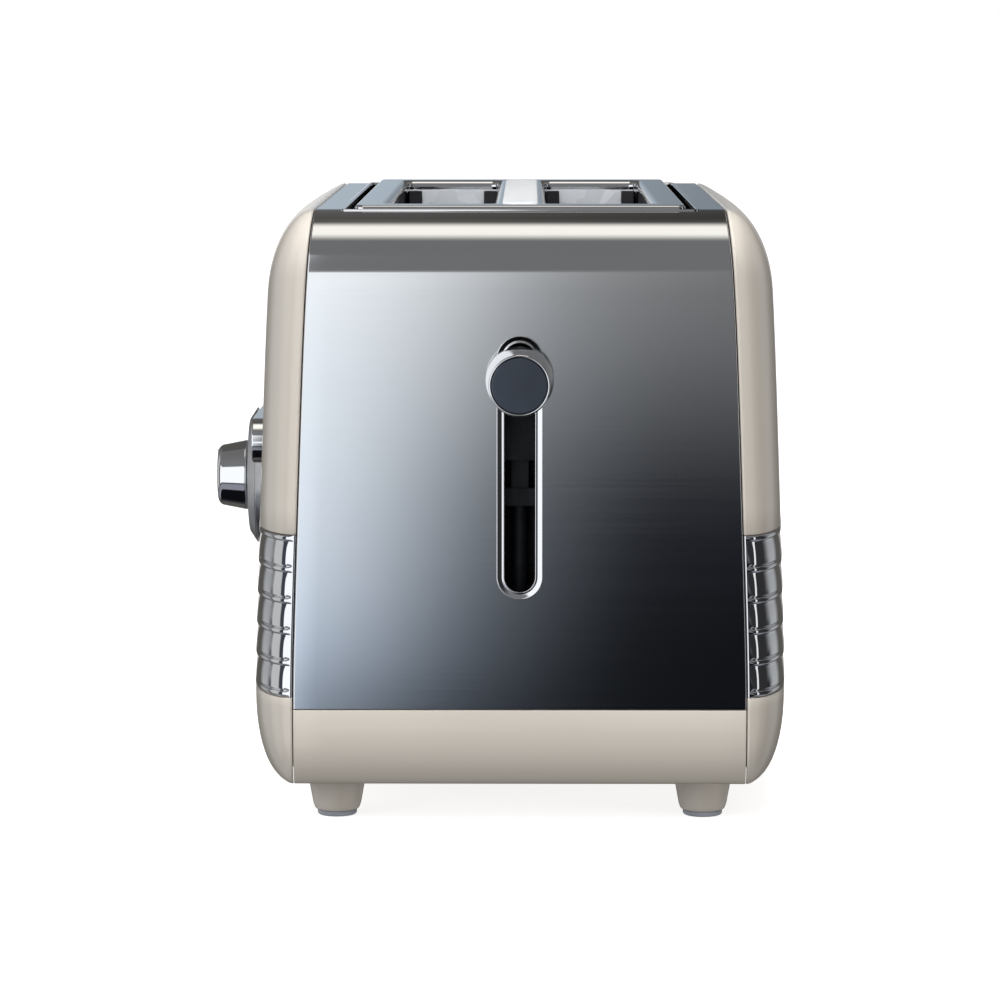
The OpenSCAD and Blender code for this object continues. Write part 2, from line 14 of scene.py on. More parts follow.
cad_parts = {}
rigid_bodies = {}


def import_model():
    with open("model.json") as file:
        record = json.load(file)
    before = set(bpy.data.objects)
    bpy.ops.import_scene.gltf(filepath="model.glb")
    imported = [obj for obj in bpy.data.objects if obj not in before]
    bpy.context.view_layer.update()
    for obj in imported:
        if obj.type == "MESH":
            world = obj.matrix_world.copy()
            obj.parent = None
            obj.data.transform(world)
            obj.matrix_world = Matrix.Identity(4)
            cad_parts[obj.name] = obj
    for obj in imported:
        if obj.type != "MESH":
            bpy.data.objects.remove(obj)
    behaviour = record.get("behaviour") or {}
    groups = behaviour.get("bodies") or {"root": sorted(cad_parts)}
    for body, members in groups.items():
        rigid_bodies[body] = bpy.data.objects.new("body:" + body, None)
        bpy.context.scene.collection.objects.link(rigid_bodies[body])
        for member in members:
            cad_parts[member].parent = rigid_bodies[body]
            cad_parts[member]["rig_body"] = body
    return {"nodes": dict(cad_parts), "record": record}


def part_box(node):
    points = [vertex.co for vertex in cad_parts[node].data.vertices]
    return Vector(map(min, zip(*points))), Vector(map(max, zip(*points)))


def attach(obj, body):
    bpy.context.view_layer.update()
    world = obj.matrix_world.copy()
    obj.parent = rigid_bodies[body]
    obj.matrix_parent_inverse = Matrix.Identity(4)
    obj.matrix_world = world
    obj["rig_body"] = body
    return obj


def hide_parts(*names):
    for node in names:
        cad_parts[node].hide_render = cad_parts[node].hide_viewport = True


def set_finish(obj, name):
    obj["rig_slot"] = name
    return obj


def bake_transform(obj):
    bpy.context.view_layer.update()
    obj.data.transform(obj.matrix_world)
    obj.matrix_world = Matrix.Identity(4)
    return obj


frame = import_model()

MM = 0.001
CREASE = math.radians(42)
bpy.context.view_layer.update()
wrap_low, wrap_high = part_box("steel_wrap")
pads_low, pads_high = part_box("foot_pads")
body_centre = (wrap_low + wrap_high) / 2
table_z = pads_low.z

# Main sizes, read from the CAD frame.
HALF_L = (wrap_high.y - wrap_low.y) / 2 / MM
WRAP_HALF = (wrap_high.x - wrap_low.x) / 2 / MM
TOP_Z = (wrap_high.z - table_z) / MM
PANEL_Z = (wrap_low.z - table_z) / MM

# Shape of the shells, the wrap and the trims.
SHOULDER = 30.0
BEND_R = 21.0
BULGE = 14.0
CROWN = 4.1
SHELL_T = 2.2
SHEET_T = 0.8
SHELL_GAP = 0.35
SHELL_OUT = 0.45
SHELL_FOOT = 15.0
SIDE_ROLL = 43.0
END_ROLL = 33.0
UNDERCUT = 9.5
END_TUCK = 7.0
RECESS = 2.0
RIB_LOW = 46.5
RIB_HIGH = 103.0
RIB_BEADS = 6
BEAD_H = 2.2
FADE_START = 0.13
FADE_RUN = 0.07
FADE_DEPTH = 0.45
CORE_Y = HALF_L - SHOULDER
CORE_Z = TOP_Z - SHOULDER

# Top, lever, controls and base.
BEZEL_TOP = TOP_Z + 1.5
BEZEL_HALF = 57.4
OPENING_Y = HALF_L - 18
BEZEL_L = OPENING_Y + 0.5
OPENING_HALF = 60.8
SLOT_X = 27.7
SLOT_W = 37.0
SLOT_L = 226.0
LEVER_Z = 157.5
LEVER_TRAVEL = 62.0
SLOT_MID = LEVER_Z - LEVER_TRAVEL / 2
SLOT_HALF = 43.0
LEVER_SLOT_W = 10.4
KNOB_R = 11.65
KNOB_BACK = HALF_L + 9
KNOB_FRONT = HALF_L + 31
DIAL_Z = 108.6
DIAL_R = 13.3
PLATE_R = 25.7
PLATE_X = 102.6
DIAL_FRONT = PLATE_X + 12.5
DIAL_HOLE_R = 6.0
SIDE_CUT = (80.0, 112.0)
BAR_X = 96.2
BAR_HALF = 92.0
BAR_Z = 130.0
BAR_HALF_H = 8.0
BUTTON_R = 5.8
FLOOR_Z = 17.0
FLOOR_T = 2.5
TRAY_Z = 21.5
TRAY_HALF = 58.0
CORD_X = -46.0
CORD_Z = 65.0
CORD_HOLE_R = 8.2
ROD_Y = -127.0


def frame_point(p):
    """A body point in millimetres as a point of the CAD frame in metres."""
    return Vector((body_centre.x + p[0] * MM, body_centre.y + p[1] * MM, table_z + p[2] * MM))


# ---- meshes

def make_piece(name, points, faces, slot=None, body="root", paint=None, weighted=False, replaces=None):
    """A mesh piece from body points and faces, painted as its slot says unless a paint is named."""
    bm = bmesh.new()
    verts = [bm.verts.new(frame_point(p)) for p in points]
    for face in faces:
        corners = [verts[i] for i in dict.fromkeys(face)]
        if len(corners) > 2 and bm.faces.get(corners) is None:
            bm.faces.new(corners)
    bmesh.ops.remove_doubles(bm, verts=bm.verts, dist=2e-6)
    bmesh.ops.dissolve_degenerate(bm, dist=1e-7, edges=bm.edges)
    bmesh.ops.recalc_face_normals(bm, faces=bm.faces)
    mesh = bpy.data.meshes.new(name)
    bm.to_mesh(mesh)
    bm.free()
    piece = bpy.data.objects.new(name, mesh)
    bpy.context.scene.collection.objects.link(piece)
    mesh.shade_smooth()
    mesh.set_sharp_from_angle(angle=CREASE)
    mesh.materials.append(paints[paint or slot])
    if weighted:
        normals = piece.modifiers.new("even_normals", "WEIGHTED_NORMAL")
        normals.keep_sharp = True
    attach(piece, body)
    if slot:
        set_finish(piece, slot)
    if replaces:
        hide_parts(replaces)
    return piece


def grid_faces(rows, cols, first=0, flip=False, wrap_rows=False, wrap_cols=False):
    """Quads over a rows x cols grid of points that starts at index first."""
    faces = []
    for i in range(rows if wrap_rows else rows - 1):
        for j in range(cols if wrap_cols else cols - 1):
            k, m = (i + 1) % rows, (j + 1) % cols
            quad = [first + i * cols + j, first + k * cols + j, first + k * cols + m, first + i * cols + m]
            faces.append(quad[::-1] if flip else quad)
    return faces


def solid_between(outer, inner):
    """Points and faces of the closed solid between two point grids of the same size."""
    rows, cols = len(outer), len(outer[0])
    count = rows * cols
    points = [p for row in outer for p in row] + [p for row in inner for p in row]
    faces = grid_faces(rows, cols) + grid_faces(rows, cols, count, flip=True)
    edge = [(0, j) for j in range(cols)] + [(i, cols - 1) for i in range(1, rows)]
    edge += [(rows - 1, j) for j in range(cols - 2, -1, -1)] + [(i, 0) for i in range(rows - 2, 0, -1)]
    loop = [i * cols + j for i, j in edge]
    for a, b in zip(loop, loop[1:] + loop[:1]):
        faces.append([a, b, b + count, a + count])
    return points, faces


def arc(centre, radius, start, end, steps):
    """Points of an arc in a plane, from one angle to another in degrees."""
    angles = [math.radians(start + (end - start) * k / steps) for k in range(steps + 1)]
    return [(centre[0] + radius * math.cos(w), centre[1] + radius * math.sin(w)) for w in angles]


def quarter(radius, steps):
    """Points of a quarter round, as (how far in, how far down), from its side to its top."""
    angles = [math.pi / 2 * k / steps for k in range(steps + 1)]
    return [(radius * (1 - math.sin(w)), radius * (1 - math.cos(w))) for w in angles]


def rounded_rect(x, y, r, steps=6):
    """Outline function of a rectangle with round corners: grow in millimetres to a list of points."""
    def outline(grow=0.0):
        half_x, half_y, corner = x + grow, y + grow, max(r + grow, 0.01)
        places = [(1, 1, 0), (-1, 1, 90), (-1, -1, 180), (1, -1, 270)]
        points = []
        for sx, sy, turn in places:
            points += arc((sx * (half_x - corner), sy * (half_y - corner)), corner, turn, turn + 90, steps)
        return points
    return outline


def moved(outline, dx, dy=0.0):
    """The same outline function shifted sideways."""
    return lambda grow=0.0: [(x + dx, y + dy) for x, y in outline(grow)]


def stadium(half_w, half_h, steps=16):
    """Outline function of an upright stadium, or of a lying one when it is wider than high."""
    return rounded_rect(half_w, half_h, min(half_w, half_h), steps)


def circle(radius, sides=48):
    """Outline function of a circle."""
    return lambda grow=0.0: arc((0, 0), radius + grow, 0, 360 - 360 / sides, sides - 1)


def flat_plane(p, w):
    """Plate plane facing +Z."""
    return (p[0], p[1], w)


def end_plane(p, w):
    """Plate plane facing -Y: w is the distance from the body's middle."""
    return (p[0], -w, p[1])


def rear_plane(p, w):
    """Plate plane facing +Y."""
    return (p[0], w, p[1])


def side_plane(p, w):
    """Plate plane facing -X: w is the distance from the body's middle."""
    return (-w, p[0], p[1])


def plate(name, loops, plane=flat_plane, **options):
    """A closed plate with shaped rims. A loop is an outline function and its (grow, height) profile.

    The first rings of all loops bound the top face and the last ones the bottom face."""
    points, faces, caps = [], [], ([], [])
    for outline, profile in loops:
        first = len(points)
        rings = [outline(grow) for grow, w in profile]
        for ring, (grow, w) in zip(rings, profile):
            points += [plane(p, w) for p in ring]
        size = len(rings[0])
        faces += grid_faces(len(rings), size, first, wrap_cols=True)
        for cap, k in zip(caps, (0, len(rings) - 1)):
            cap.append([(p, first + k * size + i) for i, p in enumerate(rings[k])])
    for cap in caps:
        index = [i for loop in cap for p, i in loop]
        polygons = [[Vector((*p, 0)) for p, i in loop] for loop in cap]
        faces += [[index[k] for k in triangle] for triangle in tessellate_polygon(polygons)]
    make_piece(name, points, faces, weighted=True, **options)


def band(name, outline, section, plane=flat_plane, **options):
    """A closed band round an outline. Its section is a closed run of (grow, height)."""
    points = [plane(p, w) for grow, w in section for p in outline(grow)]
    faces = grid_faces(len(section), len(outline()), wrap_cols=True, wrap_rows=True)
    make_piece(name, points, faces, **options)


def rolled(low, high, top_edge, bottom_edge=0.0, hole=False, steps=5):
    """Rim profile of a plate: rounded over at the top and, if asked, at the bottom."""
    sign = 1 if hole else -1
    profile = [(sign * across, high - down) for across, down in quarter(top_edge, steps)]
    if not bottom_edge:
        return profile + [(0.0, low)]
    return profile + [(sign * across, low + up) for across, up in reversed(quarter(bottom_edge, steps))]


def softened(corners, radius, steps=4):
    """An open polyline with its inner corners rounded to about the given radius."""
    points = [corners[0]]
    for before, here, after in zip(corners, corners[1:], corners[2:]):
        a, b, c = Vector(before), Vector(here), Vector(after)
        reach = min(radius, (a - b).length * 0.45, (c - b).length * 0.45)
        start, end = b + (a - b).normalized() * reach, b + (c - b).normalized() * reach
        for k in range(steps + 1):
            t = k / steps
            p = start * (1 - t) ** 2 + b * (2 * t * (1 - t)) + end * t ** 2
            points.append((p.x, p.y))
    return points + [corners[-1]]


def lathe(name, centre, axis, profile, segments=96, **options):
    """A turned piece. The profile is (radius, distance along the axis); radius 0 closes it."""
    along = Vector(axis)
    side = Vector((0, 0, 1)) if abs(along.z) < 0.5 else Vector((1, 0, 0))
    other = along.cross(side)
    points = []
    for radius, distance in profile:
        for k in range(segments):
            w = 2 * math.pi * k / segments
            points.append(Vector(centre) + along * distance
                          + (side * math.cos(w) + other * math.sin(w)) * radius)
    ring = profile[0][0] > 0 and profile[-1][0] > 0
    faces = grid_faces(len(profile), segments, wrap_cols=True, wrap_rows=ring)
    return make_piece(name, points, faces, **options)


def tube(name, path, radius, sides=10, **options):
    """A round wire along a path, with closed ends."""
    points = []
    for i, p in enumerate(path):
        ahead = Vector(path[min(i + 1, len(path) - 1)]) - Vector(path[max(i - 1, 0)])
        ahead.normalize()
        side = ahead.orthogonal() if i == 0 else (side - ahead * side.dot(ahead))
        side.normalize()
        other = ahead.cross(side)
        for k in range(sides):
            w = 2 * math.pi * k / sides
            points.append(Vector(p) + (side * math.cos(w) + other * math.sin(w)) * radius)
    faces = grid_faces(len(path), sides, wrap_cols=True)
    faces += [list(range(sides)), list(range(len(points) - sides, len(points)))]
    return make_piece(name, points, faces, **options)


def cut(piece, outline, plane, low, high):
    """Cuts a prism of the given outline out of a piece."""
    rings = [[plane(p, w) for p in outline] for w in (low, high)]
    size = len(outline)
    faces = grid_faces(2, size, wrap_cols=True) + [list(range(size)), list(range(size, 2 * size))]
    cutter = make_piece(piece.name + "_cutter", rings[0] + rings[1], faces, paint=piece["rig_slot"])
    boolean = piece.modifiers.new("cut", "BOOLEAN")
    boolean.object = cutter
    boolean.solver = "EXACT"
    piece.modifiers.move(len(piece.modifiers) - 1, 0)
    bpy.context.view_layer.objects.active = piece
    bpy.ops.object.modifier_apply(modifier="cut")
    bpy.data.objects.remove(cutter)
    piece.data.set_sharp_from_angle(angle=CREASE)


# ---- the body's shape

def edge_half(z):
    """Half width of the steel wrap at a height."""
    t = max(0.0, (z - PANEL_Z) / (TOP_Z - PANEL_Z))
    return WRAP_HALF - 6.4 * (math.sqrt(t * t + 0.01) - 0.1) - 1.8 * t ** 8


def side_crown(y):
    """Extra swell of the sides at mid length."""
    return CROWN * (1 - (y / CORE_Y) ** 2)


def tuck(z, start, depth):
    """How far the foot of a wall rolls inwards at a height below start."""
    if z > start:
        return 0.0
    return depth * (1 - math.sqrt(max(0.0, 1 - ((start - z) / (start - SHELL_FOOT)) ** 2)))


def bend_at(s):
    """Point of the rounded end outline at a run s up from the core's level."""
    straight = SHOULDER - BEND_R
    if s < straight:
        return SHOULDER, s
    w = (s - straight) / BEND_R
    return straight + BEND_R * math.cos(w), straight + BEND_R * math.sin(w)


def corner(a, b):
    """Where grid parameters a and b (0 to 1) fall in a rounded corner, as shares of the shoulder."""
    far, near = max(a, b), min(a, b)
    if far == 0:
        return 0.0, 0.0
    half_run = SHOULDER - BEND_R + BEND_R * math.pi / 4
    u, v = bend_at(half_run * near / far)
    if a < b:
        u, v = v, u
    return u * far / SHOULDER, v * far / SHOULDER


def skin(col, row):
    """A point of a shell: col is (end, a, y, rim step), row is (b, z, height, rim step)."""
    end, a, y, col_rim = col
    b, z, h, row_rim = row
    rim_x, rim_h = RIM[max(col_rim, row_rim)]
    h += rim_h
    depth = SHOULDER + h
    u, v = corner(a, b)
    if b > 0:
        z = CORE_Z + depth * v
    if a > 0:
        y = end * (CORE_Y + (depth - tuck(z, END_ROLL, END_TUCK)) * u)
    f = math.sqrt(max(0.0, 1 - max(a, b) ** 2))
    swell = f * (BULGE + SHELL_OUT + h + side_crown(y) - tuck(z, SIDE_ROLL, UNDERCUT))
    return edge_half(z) + SHELL_GAP + rim_x + swell, y, z


RIM_R = 0.7
RIM = [(0.0, 0.0)] + [(across, -down) for across, down in quarter(RIM_R, 3)]
RIM_STEPS = range(1, len(RIM))
CORNER_STEPS = 16


def ease(k):
    """Grid parameter that crowds its steps towards the rim."""
    return math.sin(math.pi / 2 * k / CORNER_STEPS)


def shell_columns():
    """Columns round a shell from its front rim to its rear rim."""
    corner_cols = [(ease(k), 0) for k in range(1, CORNER_STEPS)] + [(1.0, k) for k in RIM_STEPS]
    front = [(-1, a, 0.0, rim) for a, rim in reversed(corner_cols)]
    middle = [(1 if y > 0 else -1, 0.0, y, 0) for y in [CORE_Y * k / 12 for k in range(-12, 13)]]
    return front + middle + [(1, a, 0.0, rim) for a, rim in corner_cols]


def rows_to_points(rows, cols, side):
    """Grid of shell points, mirrored to the left when side is -1."""
    grid = []
    for row in rows:
        line = [skin(col, row) for col in cols]
        grid.append([(side * x, y, z) for x, y, z in line])
    return grid


def shell_rows(h, lip):
    """Rows up a shell with the trim's recess; lip moves the recess's edges for the inner face."""
    low, high = RIB_LOW - 0.2 - lip, RIB_HIGH + 0.2 + lip
    foot = [SIDE_ROLL - (SIDE_ROLL - SHELL_FOOT) * math.cos(math.pi / 2 * k / 12) for k in range(13)]
    rows = [(0.0, z, h, 0) for z in foot]
    rows += [(0.0, low - 0.5, h, 0), (0.0, low - 0.15, h - 0.15, 0), (0.0, low, h - 0.5, 0)]
    recess = [low + (high - low) * k / 8 for k in range(9)]
    rows += [(0.0, z, h - RECESS, 0) for z in recess]
    rows += [(0.0, high, h - 0.5, 0), (0.0, high + 0.15, h - 0.15, 0), (0.0, high + 0.5, h, 0)]
    upper = [high + 0.5 + (CORE_Z - high - 0.5) * k / 10 for k in range(1, 11)]
    rows += [(0.0, z, h, 0) for z in upper]
    rows += [(ease(k), CORE_Z, h, 0) for k in range(1, CORNER_STEPS)]
    return rows + [(1.0, CORE_Z, h, k) for k in RIM_STEPS]


def build_shell(side, word):
    """One moulded side shell, with its openings for the controls on the left."""
    cols = shell_columns()
    outer = rows_to_points(shell_rows(0.0, 0.0), cols, side)
    plain = [(end, a, y, 0) for end, a, y, rim in cols]
    inner_rows = [(b, z, h, 0) for b, z, h, rim in shell_rows(-SHELL_T, 2.0)]
    points, faces = solid_between(outer, rows_to_points(inner_rows, plain, side))
    shell = make_piece("side_shell_" + word, points, faces, slot="beige_plastic",
                       replaces="shell_" + word)
    if side < 0:
        bar = moved(stadium(BAR_HALF + 0.3, BAR_HALF_H + 0.3), 0, BAR_Z)()
        cut(shell, bar, side_plane, *SIDE_CUT)
        cut(shell, moved(circle(DIAL_HOLE_R), 0, DIAL_Z)(), side_plane, *SIDE_CUT)


def smooth_step(x):
    """Eased 0 to 1."""
    x = min(1.0, max(0.0, x))
    return x * x * (3 - 2 * x)


def build_trim(side, word):
    """Ribbed chrome trim: bands that swell down to half-round beads, which die out at the ends."""
    pitch = (RIB_HIGH - RIB_LOW - BEAD_H) / (RIB_BEADS - 1)
    profile = []
    for bead in range(RIB_BEADS):
        z0 = RIB_LOW + bead * pitch
        for k in range(9):
            w = math.pi * k / 8
            z = z0 + BEAD_H / 2 * (1 - math.cos(w))
            profile.append((z, -0.75 + 0.85 * math.sin(w)))
        if bead < RIB_BEADS - 1:
            for k in range(1, 13):
                u = k / 13
                notch = 0.5 * max(0.0, 1 - u / 0.08) ** 2
                profile.append((z0 + BEAD_H + u * (pitch - BEAD_H), -0.05 - notch - 0.85 * u ** 2.2))
    cols = shell_columns()
    outer, inner = [], []
    for z, h in profile:
        line = []
        for end, a, y, rim in cols:
            f = math.sqrt(max(0.0, 1 - a * a))
            fade = smooth_step((f - FADE_START) / FADE_RUN)
            line.append(skin((end, a, y, rim), (0.0, z, h * fade - FADE_DEPTH * (1 - fade), 0)))
        outer.append([(side * x, y, z) for x, y, z in line])
        back = [skin((end, a, y, 0), (0.0, z, 0.2 - RECESS, 0)) for end, a, y, rim in cols]
        inner.append([(side * x, y, z) for x, y, z in back])
    points, faces = solid_between(outer, inner)
    make_piece("ribbed_trim_" + word, points, faces, slot="chrome_trim",
               replaces="rib_trim_" + word)


def wrap_path(inset):
    """The wrap's inverted U seen from the side, as (y, z) points."""
    r = BEND_R - inset
    front = [(-HALF_L + inset, PANEL_Z + (TOP_Z - BEND_R - PANEL_Z) * k / 24) for k in range(24)]
    bend = [(-y, z) for y, z in arc((HALF_L - BEND_R, TOP_Z - BEND_R), r, 0, 90, 32)]
    flat = HALF_L - BEND_R
    top = [(-flat + 2 * flat * k / 12, TOP_Z - inset) for k in range(1, 12)]
    return front + bend + top + [(-y, z) for y, z in (front + bend)[::-1]]


def build_wrap():
    """The polished steel wrap with its bend, turned-in side edges, lever slot and top opening."""
    turn = 0.55
    edge_steps = quarter(turn, 4)
    inner_cols = [k / 10 for k in range(-9, 10)]
    outer = []
    near, deep = wrap_path(0.0), wrap_path(turn)
    for (y, z), (y_in, z_in) in zip(near, deep):
        half = edge_half(z)
        rims = [(half - dx, y + (y_in - y) * dh / turn, z + (z_in - z) * dh / turn) for dx, dh in edge_steps]
        left = [(-x, py, pz) for x, py, pz in reversed(rims)]
        middle = [(c * (half - turn), y, z) for c in inner_cols]
        outer.append(left + middle + rims)
    inner = []
    for (y, z), (y0, z0) in zip(wrap_path(SHEET_T), near):
        half = edge_half(z0)
        xs = [-half] * 5 + [c * (half - turn) for c in inner_cols] + [half] * 5
        inner.append([(x, y, z) for x in xs])
    points, faces = solid_between(outer, inner)
    wrap = make_piece("steel_wrap_sheet", points, faces, slot="polished_steel", weighted=True,
                      replaces="steel_wrap")
    top_hole = rounded_rect(OPENING_HALF, OPENING_Y, 1.2)()
    cut(wrap, top_hole, flat_plane, TOP_Z - 5, TOP_Z + 5)
    lever_hole = moved(stadium(LEVER_SLOT_W / 2 + 2.6, SLOT_HALF + 2.6), 0, SLOT_MID)()
    cut(wrap, lever_hole, end_plane, HALF_L - 4, HALF_L + 4)
    cut(wrap, moved(circle(CORD_HOLE_R), CORD_X, CORD_Z)(), end_plane, -HALF_L - 4, -HALF_L + 4)


def build_joint_shade_strip(side, word):
    """Black strip set back in the joint between wrap and shell: painted shade that keeps the gap dark."""
    clearance = 0.02
    grids = []
    for inset in (1.1, 2.0):
        grid = []
        for (y, z), (y0, z0) in zip(wrap_path(inset), wrap_path(0.0)):
            x = edge_half(z0)
            grid.append([(side * (x + clearance), y, z), (side * (x + SHELL_GAP - clearance), y, z)])
        grids.append(grid)
    points, faces = solid_between(*grids)
    # The strip is painted shade: a black sheet where the wrap-to-shell gap shows only shadow.
    make_piece("joint_shade_strip_" + word, points, faces, slot="black_plastic")


# ---- top

def slot_outlines():
    """Outline functions of the two bread slots."""
    slot = rounded_rect(SLOT_W / 2, SLOT_L / 2, 3)
    return [moved(slot, -SLOT_X), moved(slot, SLOT_X)]


def build_top_bezel():
    """Raised slot bezel whose slot rims roll down into deep collars."""
    roll = 2.6
    under = TOP_Z + 0.2
    rim = rolled(under, BEZEL_TOP, 1.1)
    throat = rolled(TOP_Z - 12, BEZEL_TOP, roll, hole=True, steps=9) + [(0.8, TOP_Z - 12), (0.8, under)]
    loops = [(rounded_rect(BEZEL_HALF, BEZEL_L, 3), rim)]
    loops += [(outline, throat) for outline in slot_outlines()]
    plate("slot_bezel", loops, slot="chrome_trim", replaces="top_bezel")


def build_slot_bridge():
    """Satin strip on the bridge between the two slots."""
    outline = rounded_rect(SLOT_X - SLOT_W / 2 - 3.0, SLOT_L / 2 - 1, 2)
    loops = [(outline, rolled(BEZEL_TOP - 0.6, BEZEL_TOP + 0.35, 0.35))]
    plate("slot_bridge", loops, slot="satin_metal", paint="bridge_metal")


def build_slot_ends():
    """Bright sheet across the rear end of each slot, with a black block in either corner as painted shade for
    the dark gaps beside the sheet.
    """
    for name, centre in (("left", -SLOT_X), ("right", SLOT_X)):
        outline = moved(rounded_rect(SLOT_W / 2 - 0.5, 0.2, 0.15), centre, SLOT_L / 2 - 0.5)
        loops = [(outline, rolled(TOP_Z - 34, TOP_Z - 2.2, 0.1, 0.1))]
        plate(f"slot_end_{name}", loops, slot="aluminised_sheet")
        # Black blocks in the slot's corners: painted shade standing in for the dark gaps beside the end
        # sheet.
        for word, side in (("low_x", -1), ("high_x", 1)):
            outline = moved(rounded_rect(2.6, 1.6, 0.6), centre + side * (SLOT_W / 2 - 3.4), SLOT_L / 2 - 2.5)
            loops = [(outline, rolled(TOP_Z - 34, TOP_Z - 2.6, 0.5, 0.5))]
            plate(f"slot_block_{name}_{word}", loops, slot="black_plastic")


def build_opening_rim():
    """Rolled lip round the opening in the steel top."""
    outer = [(1.5, TOP_Z + 0.02), (1.2, TOP_Z + 0.14), (0.8, TOP_Z + 0.2), (1.5, TOP_Z - 1.4)]
    inner = [(0.3, TOP_Z + 0.12), (-0.05, TOP_Z), (-0.15, TOP_Z - 0.5), (-0.15, TOP_Z - 1.4)]
    ring = [outer[0], outer[1], outer[2]] + inner + [outer[3]]
    outline = rounded_rect(OPENING_HALF, OPENING_Y, 1.2)
    band("opening_rim", outline, softened(ring, 0.4), slot="polished_steel")


def build_top_well():
    """Black well under the groove round the slot bezel."""
    loops = [(rounded_rect(OPENING_HALF + 5, OPENING_Y + 3, 3), rolled(TOP_Z - 8, TOP_Z - 6.5, 0.4))]
    loops += [(o, [(1.1, TOP_Z - 6.5), (1.1, TOP_Z - 8)]) for o in slot_outlines()]
    plate("groove_well", loops, slot="black_plastic", replaces="top_well")


# ---- lever

def build_lever_ring():
    """Chrome ring round the lever slot."""
    ring = stadium(LEVER_SLOT_W / 2, SLOT_HALF)
    placed = moved(ring, 0, SLOT_MID)
    corners = [(2.8, 0.02), (2.7, 0.25), (2.4, 0.25), (1.0, -0.35), (0.8, -0.3), (0.6, 0.12), (0.2, 0.15),
               (0.0, -0.2), (0.0, -2.1), (0.7, -2.1), (0.75, -1.3), (2.6, -0.75)]
    section = softened(corners + corners[:1], 0.16)[:-1]
    section = [(grow, HALF_L + w) for grow, w in section]
    band("lever_slot_ring", placed, section, plane=end_plane, slot="chrome_trim",
         replaces="lever_slot_bezel")


def build_lever_knob():
    """Tapered chrome knob with a recessed dark mirror cap."""
    front = KNOB_FRONT - 0.2
    seat = KNOB_FRONT - 1
    corners = [(2.6, KNOB_BACK + 1), (6.0, KNOB_BACK), (KNOB_R - 0.4, KNOB_BACK), (KNOB_R, KNOB_BACK + 0.8),
               (10.5, front - 0.3), (10.1, front), (9.62, front - 0.1), (9.6, seat), (0, seat)]
    profile = softened([(0, KNOB_BACK + 1)] + corners, 0.45)
    lathe("lever_knob_body", (0, 0, LEVER_Z), (0, -1, 0), profile, body="lift",
          slot="chrome_trim", replaces="lever_knob")
    cap_corners = [(0, seat), (9.5, seat), (9.5, KNOB_FRONT - 0.25), (9.25, KNOB_FRONT - 0.1),
                   (9.1, KNOB_FRONT - 0.1), (0, KNOB_FRONT - 0.08)]
    lathe("lever_knob_mirror", (0, 0, LEVER_Z), (0, -1, 0), softened(cap_corners, 0.3),
          body="lift", slot="dark_mirror", replaces="lever_knob_cap")


def build_spring():
    """Open coil lift spring with end hooks, stretching between bracket and carriage."""
    centre = (-11.0, ROD_Y)
    low, high, radius, turns, steps = 137.8, 190.2, 3.0, 14, 20
    path = [(centre[0], centre[1], low - 0.2), (centre[0] + 1.6, centre[1], low)]
    for k in range(turns * steps + 1):
        w = 2 * math.pi * k / steps
        path.append((centre[0] + radius * math.cos(w), centre[1] + radius * math.sin(w),
                     low + 0.6 + (high - low - 1.2) * k / (turns * steps)))
    path += [(centre[0] + 1.6, centre[1], high), (centre[0], centre[1], high + 0.2)]
    spring = tube("lift_spring_coil", path, 0.5, slot="spring_steel")
    world = spring.matrix_world.copy()
    spring.parent = None
    spring.matrix_world = world
    del spring["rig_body"]
    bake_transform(spring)
    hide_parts("carriage_spring")


# ---- controls

def build_dial():
    """Browning dial with its pointer, and its shaft's round plate."""
    axis = (-1, 0, 0)
    centre = (0, 0, DIAL_Z)
    back = PLATE_X + 0.55
    corners = [(0, back), (DIAL_R - 1.0, back), (DIAL_R, back + 0.7), (DIAL_R - 0.3, back + 2.2),
               (DIAL_R - 1.9, DIAL_FRONT - 1.6), (DIAL_R - 3.4, DIAL_FRONT - 0.35), (6.0, DIAL_FRONT - 0.08),
               (0, DIAL_FRONT)]
    lathe("browning_dial_knob", centre, axis, softened(corners, 0.9), segments=128,
          body="dial", slot="chrome_trim", replaces="browning_dial")
    pointer = moved(rounded_rect(0.45, 2.6, 0.4), 0, DIAL_Z + 7.2)
    plate("dial_pointer", [(pointer, rolled(DIAL_FRONT - 1.2, DIAL_FRONT - 0.02, 0.15))],
          plane=side_plane, body="dial", slot="satin_metal")
    face, rear = PLATE_X, PLATE_X - 6.1
    corners = [(3.1, rear), (PLATE_R - 1.2, rear), (PLATE_R - 1.2, face - 3.05), (PLATE_R, face - 3.0),
               (PLATE_R - 0.3, face - 2.6), (PLATE_R - 4.2, face - 0.05), (PLATE_R - 5.2, face),
               (DIAL_R + 1.6, face), (DIAL_R + 1.2, face - 0.35), (3.1, face - 0.35)]
    lathe("dial_plate_disc", centre, axis, softened(corners, 0.3), segments=128,
          slot="satin_metal", replaces="dial_plate")


def build_dial_marks():
    """Seven dots of rising size round the dial on its plate."""
    for k in range(7):
        w = math.radians(-135 + 45 * k)
        reach = DIAL_R + 4.6
        at = (0, reach * math.sin(w), DIAL_Z + reach * math.cos(w))
        size = 0.45 + 0.07 * k
        corners = [(0, PLATE_X - 0.4), (size, PLATE_X - 0.4), (size, PLATE_X + 0.02), (0, PLATE_X + 0.12)]
        lathe(f"dial_mark_{k + 1}", at, (-1, 0, 0), softened(corners, 0.1), segments=20,
              slot="black_plastic")


def build_control_bar():
    """Long chrome bar with a rolled rim and four button wells."""
    back = BAR_X - 7
    loops = [(moved(stadium(BAR_HALF, BAR_HALF_H, 20), 0, BAR_Z), rolled(back, BAR_X, 0.7))]
    for y in button_places().values():
        well = moved(circle(BUTTON_R + 0.12), y, BAR_Z)
        loops.append((well, rolled(back, BAR_X, 0.5, hole=True, steps=3)))
    plate("control_bar_trim", loops, plane=side_plane, slot="chrome_trim", replaces="control_bar")


